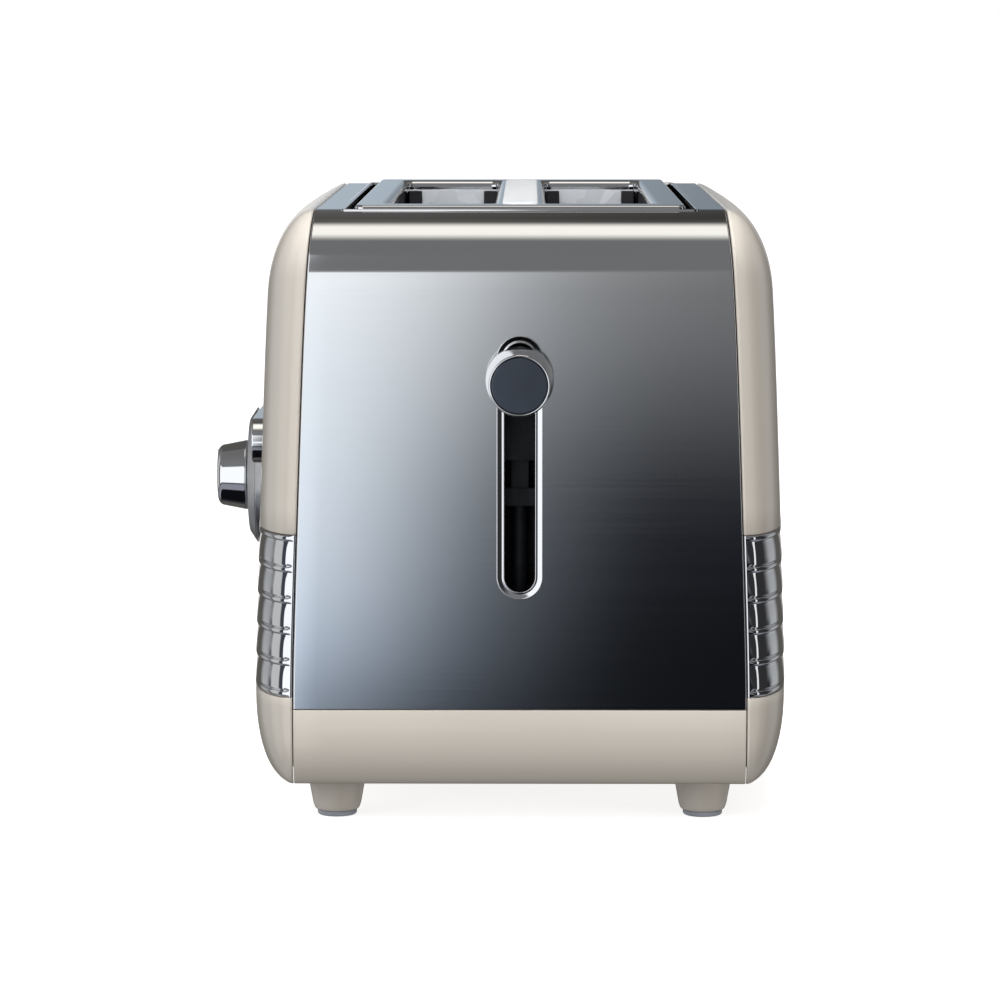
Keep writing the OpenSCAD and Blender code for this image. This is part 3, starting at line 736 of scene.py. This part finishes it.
def button_places():
    """Centres of the four buttons along Y, from their CAD boxes."""
    places = {}
    for name in ("reheat", "defrost", "one_side", "cancel"):
        low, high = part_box("button_" + name)
        places[name] = ((low.y + high.y) / 2 - body_centre.y) / MM
    return places


def build_buttons():
    """Push buttons with a dished face and a stem as long as the CAD's."""
    face = BAR_X + 0.4
    stem = (body_centre.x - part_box("button_reheat")[1].x) / MM
    for name, y in button_places().items():
        corners = [(0, stem), (2.0, stem), (2.0, face - 4.5), (BUTTON_R, face - 4.5),
                   (BUTTON_R, face - 0.5), (BUTTON_R - 0.6, face), (BUTTON_R - 1.3, face),
                   (BUTTON_R - 2.6, face - 0.4), (0, face - 0.55)]
        lathe("push_button_" + name, (0, y, BAR_Z), (-1, 0, 0), softened(corners, 0.35),
              segments=64, body=name, slot="chrome_trim", replaces="button_" + name)


# ---- base

def skirt_line(inset, low, steps=12):
    """End skirt seen from the side, from its top edge to where it has rolled under."""
    line = []
    for k in range(steps + 1):
        w = math.pi / 2 * k / steps
        line.append((HALF_L - END_TUCK + (END_TUCK - inset) * math.cos(w),
                     END_ROLL - (END_ROLL - low) * math.sin(w)))
    return line


def build_skirt(end, name):
    """One end skirt of the base, rounded over at its top and side edges."""
    edge = 0.5
    top = PANEL_Z - 0.3
    outer_line = [(HALF_L - edge, top), (HALF_L - edge * 0.3, top - edge * 0.3), (HALF_L, top - edge)]
    outer_line += skirt_line(0.0, SHELL_FOOT) + [(HALF_L - 20, SHELL_FOOT)]
    inner_line = [(HALF_L - FLOOR_T, top)] * 2 + [(HALF_L - FLOOR_T, top - edge)]
    inner_line += skirt_line(FLOOR_T, FLOOR_Z + FLOOR_T) + [(HALF_L - 20, FLOOR_Z + FLOOR_T)]
    half = WRAP_HALF + 0.05
    rims = [(half - edge * (1 - math.sin(w)), edge * (1 - math.cos(w))) for w in (0, 0.52, 1.05, 1.57)]
    cols = [(-x, d) for x, d in reversed(rims)] + [(half * k / 8, 0.0) for k in range(-7, 8)] + rims
    outer = [[(x, end * (y - d), z) for x, d in cols] for y, z in outer_line]
    inner = [[(max(-half, min(half, x)), end * y, z) for x, d in cols] for y, z in inner_line]
    points, faces = solid_between(outer, inner)
    skirt = make_piece(name, points, faces, slot="beige_plastic")
    if end > 0:
        opening = moved(rounded_rect(TRAY_HALF + 2, 6, 1.0), 0, TRAY_Z + 5)()
        cut(skirt, opening, end_plane, -HALF_L - 2, -HALF_L + 30)


def floor_outline(grow=0.0):
    """Outline of the base floor, following the swell of the shells."""
    half = WRAP_HALF + BULGE - SHELL_T - 6
    right = [(half + side_crown(y) + grow, y * (1 + grow / 110)) for y in range(-110, 111, 10)]
    rear = [(WRAP_HALF - 4 + grow, HALF_L - 19 + grow), (-WRAP_HALF + 4 - grow, HALF_L - 19 + grow)]
    left = [(-x, y) for x, y in reversed(right)]
    return right + rear + left + [(-x, -y) for x, y in rear]


def build_floor():
    """Base floor with rows of vent slots and four screw holes."""
    top = FLOOR_Z + FLOOR_T
    loops = [(floor_outline, rolled(FLOOR_Z, top, 0.4, 0.6))]
    vent = stadium(1.6, 11, 6)
    for x in range(-35, 36, 10):
        for y in (-52, 52):
            loops.append((moved(vent, x, y), rolled(FLOOR_Z, top, 0.3, 0.5, hole=True, steps=2)))
    for x in (-50, 50):
        for y in (-96, 96):
            hole = moved(circle(1.6, 24), x, y)
            loops.append((hole, rolled(FLOOR_Z, top, 0.1, 0.3, hole=True, steps=2)))
    plate("base_floor", loops, slot="beige_plastic", replaces="base")


def build_feet():
    """Four tapered feet with thin pads."""
    foot_x = (pads_high.x - pads_low.x) / 2 / MM - 7
    foot_y = (pads_high.y - pads_low.y) / 2 / MM - 7
    corners = [(0, FLOOR_Z), (11.6, FLOOR_Z), (10.5, FLOOR_Z - 1.6), (9.9, FLOOR_Z - 5),
               (8.5, 4.2), (7.9, 2.5), (7.3, 2.0), (0, 2.0)]
    pad_corners = [(0, 0), (6.3, 0), (6.95, 0.5), (7.0, 1.6), (6.6, 2.0), (0, 2.0)]
    count = 0
    for x in (-foot_x, foot_x):
        for y in (-foot_y, foot_y):
            count += 1
            foot = lathe(f"foot_{count}", (x, y, 0), (0, 0, 1), softened(corners, 1.2),
                         segments=64, slot="beige_plastic")
            sole = lathe(f"foot_pad_{count}", (x, y, 0), (0, 0, 1), softened(pad_corners, 0.4),
                         segments=64, slot="pad_rubber")
            if count == 1:
                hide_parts("feet")
                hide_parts("foot_pads")


def build_tray_front():
    """Front of the crumb tray with its finger lip."""
    face = rounded_rect(TRAY_HALF + 1.5, 5.25, 1.4)
    rear_y = HALF_L - 0.4
    loops = [(moved(face, 0, TRAY_Z + 4.75), rolled(rear_y - 3.5, rear_y, 0.9, 0.4))]
    plate("tray_front_panel", loops, plane=rear_plane, body="tray", slot="beige_plastic",
          replaces="tray_front")
    lip = rounded_rect(20, 3.1, 1.2)
    loops = [(moved(lip, 0, HALF_L + 2.65), rolled(TRAY_Z + 3.4, TRAY_Z + 6.4, 1.2, 1.2))]
    plate("tray_lip", loops, body="tray", slot="beige_plastic")


def build_cord_bush():
    """Inlet bush with a stepped collar and a bore for the lead."""
    corners = [(3.6, HALF_L - 8), (8.0, HALF_L - 8), (8.0, HALF_L + 0.05), (10.0, HALF_L + 0.05),
               (10.0, HALF_L + 1.6), (8.6, HALF_L + 3.05), (5.2, HALF_L + 3.05), (3.6, HALF_L + 2.0)]
    lathe("cord_inlet_bush", (CORD_X, 0, CORD_Z), (0, 1, 0), softened(corners, 0.5),
          segments=64, slot="black_plastic", replaces="cord_bush")


# ---- materials

class Shader:
    """A node tree with short ways to add to it."""

    def __init__(self, owner):
        owner.use_nodes = True
        self.tree = owner.node_tree

    def link(self, source, target):
        self.tree.links.new(source, target)

    def node(self, kind, inputs, output=0, **settings):
        """Output of a new node. Inputs are constants or sockets, by socket name or number."""
        node = self.tree.nodes.new("ShaderNode" + kind)
        for setting, value in settings.items():
            setattr(node, setting, value)
        for socket, value in inputs.items():
            if isinstance(value, bpy.types.NodeSocket):
                self.link(value, node.inputs[socket])
            else:
                node.inputs[socket].default_value = value
        return node.outputs[output]

    def remap(self, source, start, end, low=0.0, high=1.0, **settings):
        """Source remapped from start..end to low..high."""
        inputs = {"Value": source, "From Min": start, "From Max": end, "To Min": low, "To Max": high}
        return self.node("MapRange", inputs, "Result", **settings)

    def colors(self, source, stops):
        """Colour ramp over a source from 0 to 1; stops are (place, colour)."""
        node = self.tree.nodes.new("ShaderNodeValToRGB")
        elements = node.color_ramp.elements
        while len(elements) < len(stops):
            elements.new(0.5)
        for element, (place, color) in zip(elements, stops):
            element.position = place
            element.color = (*color, 1)
        self.link(source, node.inputs["Fac"])
        return node.outputs["Color"]


class Paint(Shader):
    """A procedural material on a Principled shader; details come from object coordinates."""

    def __init__(self, name, color, metallic=0.0, roughness=0.5, **sockets):
        self.material = bpy.data.materials.new(name)
        super().__init__(self.material)
        self.shader = self.tree.nodes["Principled BSDF"]
        self.place = self.node("TexCoord", {}, "Object")
        self.color = color
        sockets.update(Base_Color=(*color, 1), Metallic=metallic, Roughness=roughness)
        for socket, value in sockets.items():
            self.shader.inputs[socket.replace("_", " ")].default_value = value

    def shade(self, tone):
        """The paint's colour made lighter or darker by a factor; a colour stays as it is."""
        return tone if isinstance(tone, tuple) else tuple(min(1.0, c * tone) for c in self.color)

    def tint(self, pattern, dark, light, start=0.3, end=0.7):
        """Base colour that runs between two shades with the pattern."""
        stops = [(start, self.shade(dark)), (end, self.shade(light))]
        self.link(self.colors(pattern(self), stops), self.shader.inputs["Base Color"])

    def gloss(self, pattern, low, high, start=0.3, end=0.7):
        """Roughness that runs from low to high with the pattern."""
        self.link(self.remap(pattern(self), start, end, low, high), self.shader.inputs["Roughness"])

    def relief(self, pattern, strength, distance):
        """Bump with the pattern as its height; distance is in millimetres."""
        inputs = {"Strength": strength, "Distance": distance * MM, "Height": pattern(self)}
        self.link(self.node("Bump", inputs, "Normal"), self.shader.inputs["Normal"])


def noise(scale, detail=4.0, stretch=None, rough=0.55):
    """Pattern of soft noise, with a scale per axis if asked."""
    def pattern(paint):
        place = paint.place
        if stretch:
            place = paint.node("Mapping", {"Scale": stretch, "Vector": place}, "Vector")
        inputs = {"Scale": scale, "Detail": detail, "Roughness": rough, "Vector": place}
        return paint.node("TexNoise", inputs, "Fac")
    return pattern


def cells(scale, feature="F1", output="Color"):
    """Pattern of irregular cells."""
    return lambda paint: paint.node("TexVoronoi", {"Scale": scale, "Vector": paint.place}, output,
                                    feature=feature)


def bands(scale, direction, distortion):
    """Pattern of waves along one axis."""
    return lambda paint: paint.node(
        "TexWave", {"Scale": scale, "Distortion": distortion, "Vector": paint.place}, "Fac",
        bands_direction=direction)


def surface(name, color, tint, gloss=None, relief=None, **shader):
    """A material; each layer is a pattern followed by the values its Paint method takes."""
    paint = Paint(name, color, **shader)
    for add, layer in ((paint.tint, tint), (paint.gloss, gloss), (paint.relief, relief)):
        if layer:
            add(*layer)
    return paint.material


UPRIGHT = (1, 1, 0.1)
STEEL_GRAIN = noise(120, 6, (0.05, 1.0, 8.0))
SATIN_GRAIN = noise(900, 3, (0.05, 1, 1))
BRIDGE_GRAIN = noise(500, 3, (1, 0.05, 1))
COIL_TURNS = bands(420, "Z", 0.4)
BOARD_TRACKS = cells(180, "DISTANCE_TO_EDGE", "Distance")
MATERIALS = {
    "beige_plastic": dict(
        color=(0.50, 0.462, 0.412), roughness=0.28, Specular_IOR_Level=0.35, Coat_Weight=0.5,
        Coat_Roughness=0.04, Coat_IOR=1.5, tint=(noise(40, 2), 0.998, 1.002),
        gloss=(noise(60, 2), 0.275, 0.285), relief=(noise(900, 2), 0.01, 0.004)),
    "polished_steel": dict(
        color=(0.76, 0.77, 0.785), metallic=1.0, roughness=0.1, tint=(noise(18), 0.985, 1.01),
        gloss=(STEEL_GRAIN, 0.055, 0.07), relief=(STEEL_GRAIN, 0.006, 0.002)),
    "chrome_trim": dict(
        color=(0.86, 0.87, 0.885), metallic=1.0, roughness=0.05, tint=(noise(45), 0.96, 1.02),
        gloss=(noise(160, 5), 0.04, 0.07), relief=(noise(260, 2), 0.004, 0.004)),
    "dark_mirror": dict(
        color=(0.088, 0.105, 0.135), metallic=1.0, roughness=0.25, Coat_Weight=0.5, Coat_Roughness=0.12,
        tint=(noise(70), 0.9, 1.08), gloss=(noise(240), 0.22, 0.28)),
    "satin_metal": dict(
        color=(0.72, 0.725, 0.74), metallic=1.0, roughness=0.3, Anisotropic=0.5,
        tint=(SATIN_GRAIN, 0.98, 1.01), gloss=(SATIN_GRAIN, 0.28, 0.33), relief=(SATIN_GRAIN, 0.006, 0.004)),
    "bridge_metal": dict(
        color=(0.74, 0.755, 0.77), metallic=0.3, roughness=0.5, tint=(BRIDGE_GRAIN, 0.97, 1.02),
        gloss=(BRIDGE_GRAIN, 0.45, 0.55), relief=(BRIDGE_GRAIN, 0.02, 0.01)),
    "sheet_steel": dict(
        color=(0.42, 0.43, 0.45), metallic=1.0, roughness=0.35, tint=(cells(140), 0.8, 1.15, 0.1, 0.9),
        gloss=(noise(300, 4, UPRIGHT), 0.28, 0.45), relief=(noise(300, 4, UPRIGHT), 0.08, 0.03)),
    "dark_steel": dict(
        color=(0.020, 0.023, 0.029), metallic=0.25, roughness=0.6, tint=(noise(160), 0.8, 1.3),
        gloss=(noise(320, 4, UPRIGHT), 0.52, 0.68), relief=(noise(500, 3), 0.1, 0.03)),
    "aluminised_sheet": dict(
        color=(0.55, 0.57, 0.60), metallic=0.2, roughness=0.5, tint=(cells(160), 0.9, 1.08, 0.1, 0.9),
        gloss=(noise(300, 4, UPRIGHT), 0.42, 0.58), relief=(noise(400, 4, UPRIGHT), 0.06, 0.02)),
    "spring_steel": dict(
        color=(0.55, 0.56, 0.58), metallic=1.0, roughness=0.22, tint=(noise(200), 0.85, 1.1),
        gloss=(noise(500, 4, (1, 1, 0.05)), 0.16, 0.3), relief=(noise(500, 3, (1, 1, 0.05)), 0.1, 0.02)),
    "element_wire": dict(
        color=(0.24, 0.17, 0.13), metallic=0.8, roughness=0.5,
        tint=(noise(120, 5, (1, 0.3, 1)), 0.6, (0.36, 0.30, 0.27)), relief=(noise(700, 3), 0.2, 0.03)),
    "mica_board": dict(
        color=(0.44, 0.37, 0.24), roughness=0.5, Sheen_Weight=0.1,
        tint=(noise(60, 8, (1, 1, 2), 0.7), 0.7, 1.3), gloss=(cells(240), 0.3, 0.65, 0.0, 1.0),
        relief=(noise(160, 6), 0.3, 0.08)),
    "black_plastic": dict(
        color=(0.012, 0.012, 0.014), roughness=0.45, tint=(noise(90), 0.8, 1.5),
        gloss=(noise(220), 0.38, 0.55), relief=(noise(1500, 2), 0.2, 0.03)),
    "pad_rubber": dict(
        color=(0.30, 0.32, 0.36), roughness=0.7, tint=(noise(160), 0.85, 1.1),
        gloss=(noise(300, 3), 0.6, 0.8), relief=(noise(1200, 2), 0.25, 0.04)),
    "copper_coil": dict(
        color=(0.52, 0.20, 0.08), metallic=0.9, roughness=0.3, tint=(COIL_TURNS, 0.35, 1.2, 0.1, 0.9),
        gloss=(noise(200, 3), 0.2, 0.4), relief=(COIL_TURNS, 0.6, 0.15)),
    "green_board": dict(
        color=(0.012, 0.075, 0.035), roughness=0.35, Coat_Weight=0.4, Coat_Roughness=0.2,
        tint=(BOARD_TRACKS, (0.10, 0.22, 0.07), 1.0, 0.02, 0.06), gloss=(noise(160, 3), 0.28, 0.42),
        relief=(BOARD_TRACKS, 0.3, 0.04)),
    "white_block": dict(
        color=(0.70, 0.69, 0.64), roughness=0.35, tint=(noise(70), 0.93, 1.03),
        gloss=(noise(260, 3), 0.3, 0.45), relief=(noise(600, 2), 0.1, 0.02)),
    "pale_floor": dict(
        color=(0.86, 0.86, 0.86), roughness=0.9, Emission_Color=(1, 1, 1, 1), Emission_Strength=0.75,
        tint=(noise(3, 3), (0.85, 0.85, 0.85), (0.87, 0.87, 0.87))),
}


def dress_cad_nodes():
    """Gives every CAD node its slot's material and softens the edges of the ones that stay."""
    for part in frame["record"]["subparts"]:
        node = frame["nodes"][part["node"]]
        node.data.materials.clear()
        node.data.materials.append(paints[part["material_slot"]])
        if node.hide_render:
            continue
        bevel = node.modifiers.new("soft_edges", "BEVEL")
        bevel.width = 0.25 * MM
        bevel.segments = 2
        bevel.limit_method = "ANGLE"
        bevel.angle_limit = math.radians(50)


# ---- studio

class Sky(Shader):
    """World shader built from the direction of each ray: x to the right, y to the back, z up."""

    def __init__(self):
        self.world = bpy.data.worlds.new("studio")
        bpy.context.scene.world = self.world
        super().__init__(self.world)
        self.tree.nodes.clear()
        split = self.tree.nodes.new("ShaderNodeSeparateXYZ")
        self.link(self.node("TexCoord", {}, "Generated"), split.inputs[0])
        self.x, self.y, self.z = split.outputs

    def math(self, operation, a, b=0.0):
        return self.node("Math", {0: a, 1: b}, operation=operation)

    def times(self, first, *others):
        """Product of values."""
        for other in others:
            first = self.math("MULTIPLY", first, other)
        return first

    def step(self, value, low, high):
        """Smooth step from 0 at low to 1 at high; high may be the smaller."""
        return self.remap(value, low, high, interpolation_type="SMOOTHSTEP")

    def band(self, value, low, high, soft):
        """1 between two values, falling to 0 over soft at either side."""
        rise = self.step(value, low - soft / 2, low + soft / 2)
        return self.times(rise, self.step(value, high + soft / 2, high - soft / 2))

    def mix(self, factor, base, over):
        """Colour over laid on base by a factor; either is a colour or a socket."""
        base, over = [(*value, 1) if isinstance(value, tuple) else value for value in (base, over)]
        return self.node("Mix", {0: factor, 6: base, 7: over}, 2, data_type="RGBA")

    def curve(self, value, stops, low, high):
        """Colour ramp along a value from low to high; stops are (place, colour)."""
        shares = [((place - low) / (high - low), color) for place, color in stops]
        return self.colors(self.remap(value, low, high), shares)


def build_sky():
    """Surroundings for reflections, an even dome for diffuse light and plain white for the camera."""
    sky = Sky()
    elevation = sky.times(sky.math("ARCSINE", sky.z), 180 / math.pi)
    azimuth = sky.times(sky.math("ARCTAN2", sky.x, sky.times(sky.y, -1.0)), 180 / math.pi)
    turned = sky.math("ABSOLUTE", azimuth)

    grey, brown, night = (0.19, 0.19, 0.195), (0.10, 0.095, 0.088), (0.03, 0.03, 0.035)
    room = sky.curve(elevation, [
        (-90, (0.004, 0.004, 0.005)), (-8.5, (0.006, 0.007, 0.009)), (-6.5, (0.013, 0.015, 0.021)),
        (-5.35, (0.085, 0.089, 0.095)), (-4.2, (0.175, 0.18, 0.188)), (-3, (0.235, 0.235, 0.235)),
        (5, grey), (45, grey), (90, (0.13, 0.125, 0.115))], -90, 90)
    # Bright field in front, left of the middle; it leans with the height and fades downwards.
    tilt = sky.math("ADD", azimuth, sky.times(elevation, -0.28))
    core = sky.times(sky.step(tilt, 1.8, -2.4), 0.62)
    field = sky.math("ADD", core, sky.times(sky.step(tilt, 3.9, -2.1), 0.38))
    glow = sky.curve(elevation, [
        (-60, (0.01, 0.01, 0.012)), (-14, (0.06, 0.07, 0.09)), (-9.3, (0.38, 0.45, 0.55)),
        (-8.7, (0.70, 0.81, 0.97)), (-7.6, (0.92, 1.02, 1.15)), (-5.35, (1.03, 1.10, 1.17)),
        (-4.2, (1.06, 1.12, 1.17)), (-3.4, (1.16, 1.21, 1.25)), (-2.5, (1.18, 1.21, 1.23)),
        (-1.2, (0.45, 0.46, 0.47)), (2, grey)], -60, 30)
    color = sky.mix(sky.times(field, sky.band(azimuth, -8, 30, 4)), room, glow)
    # Right: a dark wall with one narrow tall light on it. Left: a tall white wall of light, then a dark
    # gap and a paler wall behind it.
    height = sky.band(elevation, -22, 31, 4)
    for start, end, soft, wall in ((30, 122, 16, (0.03, 0.03, 0.033)), (74, 83, 3, (0.95, 0.95, 0.95)),
                                   (-72, -4.6, 1.5, (1.10, 1.12, 1.15)), (-93, -72, 3, (0.05, 0.055, 0.07)),
                                   (-122, -93, 6, (0.55, 0.55, 0.55))):
        color = sky.mix(sky.times(sky.band(azimuth, start, end, soft), height), color, wall)
    # A grey band under the walls.
    sides = sky.math("ADD", sky.band(azimuth, -140, -4.6, 3), sky.band(azimuth, 40, 140, 10))
    color = sky.mix(sky.times(sides, sky.band(elevation, -46, -26, 3)), color, (0.26, 0.27, 0.31))
    # Rear of the room: bright up to the horizon, blue-grey just above it, brown-grey higher up; its right
    # half is dimmed, and its corners are plainer.
    back = sky.curve(elevation, [
        (-40, night), (-7, (0.80, 0.79, 0.77)), (0.2, (0.85, 0.85, 0.85)), (1.5, (0.42, 0.49, 0.56)),
        (8, (0.36, 0.41, 0.46)), (14, (0.15, 0.15, 0.15)), (40, (0.12, 0.115, 0.11)), (62, brown),
        (78, (0.16, 0.15, 0.135))], -40, 90)
    back = sky.mix(sky.times(sky.step(sky.x, -0.06, 0.06), 0.5), back, (0.0, 0.0, 0.0))
    corners = sky.curve(elevation, [
        (-40, night), (-8, (0.42, 0.43, 0.44)), (4, (0.33, 0.34, 0.36)), (20, (0.18, 0.18, 0.19)),
        (60, (0.10, 0.095, 0.09))], -40, 90)
    corners = sky.mix(sky.step(turned, 142, 152), corners, brown)
    behind = sky.mix(sky.step(turned, 166, 175), corners, back)
    color = sky.mix(sky.step(turned, 122, 135), color, behind)
    # Overhead softbox: a strip across the front, a little behind the zenith.
    over = sky.times(sky.band(sky.y, -0.38, 0.15, 0.30), sky.step(sky.z, 0.5, 0.8),
                     sky.band(sky.x, -0.13, 0.30, 0.06))
    color = sky.mix(over, color, (1.22, 1.17, 1.08))

    path = sky.tree.nodes.new("ShaderNodeLightPath")
    dome = sky.curve(sky.math("ADD", sky.x, sky.times(sky.y, 0.6)),
                     [(-1.2, (1.50, 1.52, 1.55)), (-0.35, (0.62, 0.62, 0.62)), (0, (0.52, 0.52, 0.52)),
                      (1.2, (0.14, 0.11, 0.08))], -1.2, 1.2)
    dome = sky.mix(sky.step(sky.z, 0.0, -0.25), dome, (0.40, 0.39, 0.38))
    color = sky.mix(path.outputs["Is Diffuse Ray"], color, dome)
    color = sky.mix(path.outputs["Is Camera Ray"], color, (1.0, 1.0, 1.0))
    output = sky.tree.nodes.new("ShaderNodeOutputWorld")
    sky.link(sky.node("Background", {"Color": color}), output.inputs["Surface"])


def area_light(name, place, target, size, power, color=(1, 1, 1)):
    """A soft rectangular light aimed at a body point, in millimetres; it isn't seen in reflections."""
    light = bpy.data.lights.new(name, "AREA")
    light.shape = "RECTANGLE"
    light.size = size[0] * MM
    light.size_y = size[1] * MM
    light.energy = power
    light.color = color
    lamp = bpy.data.objects.new(name, light)
    bpy.context.scene.collection.objects.link(lamp)
    lamp.location = frame_point(place)
    lamp.rotation_mode = "QUATERNION"
    lamp.rotation_quaternion = (frame_point(place) - frame_point(target)).to_track_quat("Z", "Y")
    lamp.visible_glossy = False


def build_floor_stage():
    """Wide flat pale floor that neither shows in reflections nor lights the toaster."""
    bm = bmesh.new()
    bmesh.ops.create_grid(bm, x_segments=24, y_segments=24, size=60.0)
    for v in bm.verts:
        v.co.z = table_z
    mesh = bpy.data.meshes.new("floor")
    bm.to_mesh(mesh)
    bm.free()
    floor = bpy.data.objects.new("floor", mesh)
    bpy.context.scene.collection.objects.link(floor)
    floor.data.materials.append(paints["pale_floor"])
    floor.visible_glossy = False
    floor.visible_diffuse = False


def build_camera():
    """Long lens at the lever end, a little above the toaster."""
    camera = bpy.data.cameras.new("camera")
    camera.sensor_width = 36.0
    camera.lens = 147.2
    camera.clip_end = 200.0
    eye = bpy.data.objects.new("camera", camera)
    bpy.context.scene.collection.objects.link(eye)
    eye.location = frame_point((3.7, -HALF_L - 1400.0, 275.0))
    eye.rotation_euler = Euler((math.radians(90 - 6.50), 0, math.radians(0.43)))
    bpy.context.scene.camera = eye


def build_studio():
    """Camera, floor, surroundings and lamps."""
    build_camera()
    build_floor_stage()
    build_sky()
    area_light("key_light", (-1100, -900, 600), (0, 0, 100), (700, 700), 3.5, (0.97, 0.99, 1.0))
    area_light("fill_light", (1300, -900, 120), (0, 0, 60), (700, 300), 5)
    area_light("slot_light", (0, -500, 1100), (0, 90, 180), (500, 300), 14)
    bpy.context.scene.view_settings.view_transform = "Standard"


# ---- assembly

def build_toaster():
    """Every visible piece of the toaster."""
    for side, word in ((-1, "left"), (1, "right")):
        build_shell(side, word)
        build_trim(side, word)
        build_joint_shade_strip(side, word)
    build_wrap()
    build_opening_rim()
    build_top_bezel()
    build_slot_bridge()
    build_slot_ends()
    build_top_well()
    build_lever_ring()
    build_lever_knob()
    build_spring()
    build_dial()
    build_dial_marks()
    build_control_bar()
    build_buttons()
    build_floor()
    build_skirt(-1, "base_skirt_front")
    build_skirt(1, "base_skirt_rear")
    build_feet()
    build_tray_front()
    build_cord_bush()
    dress_cad_nodes()


paints = {name: surface(name, **look) for name, look in MATERIALS.items()}
build_toaster()
build_studio()
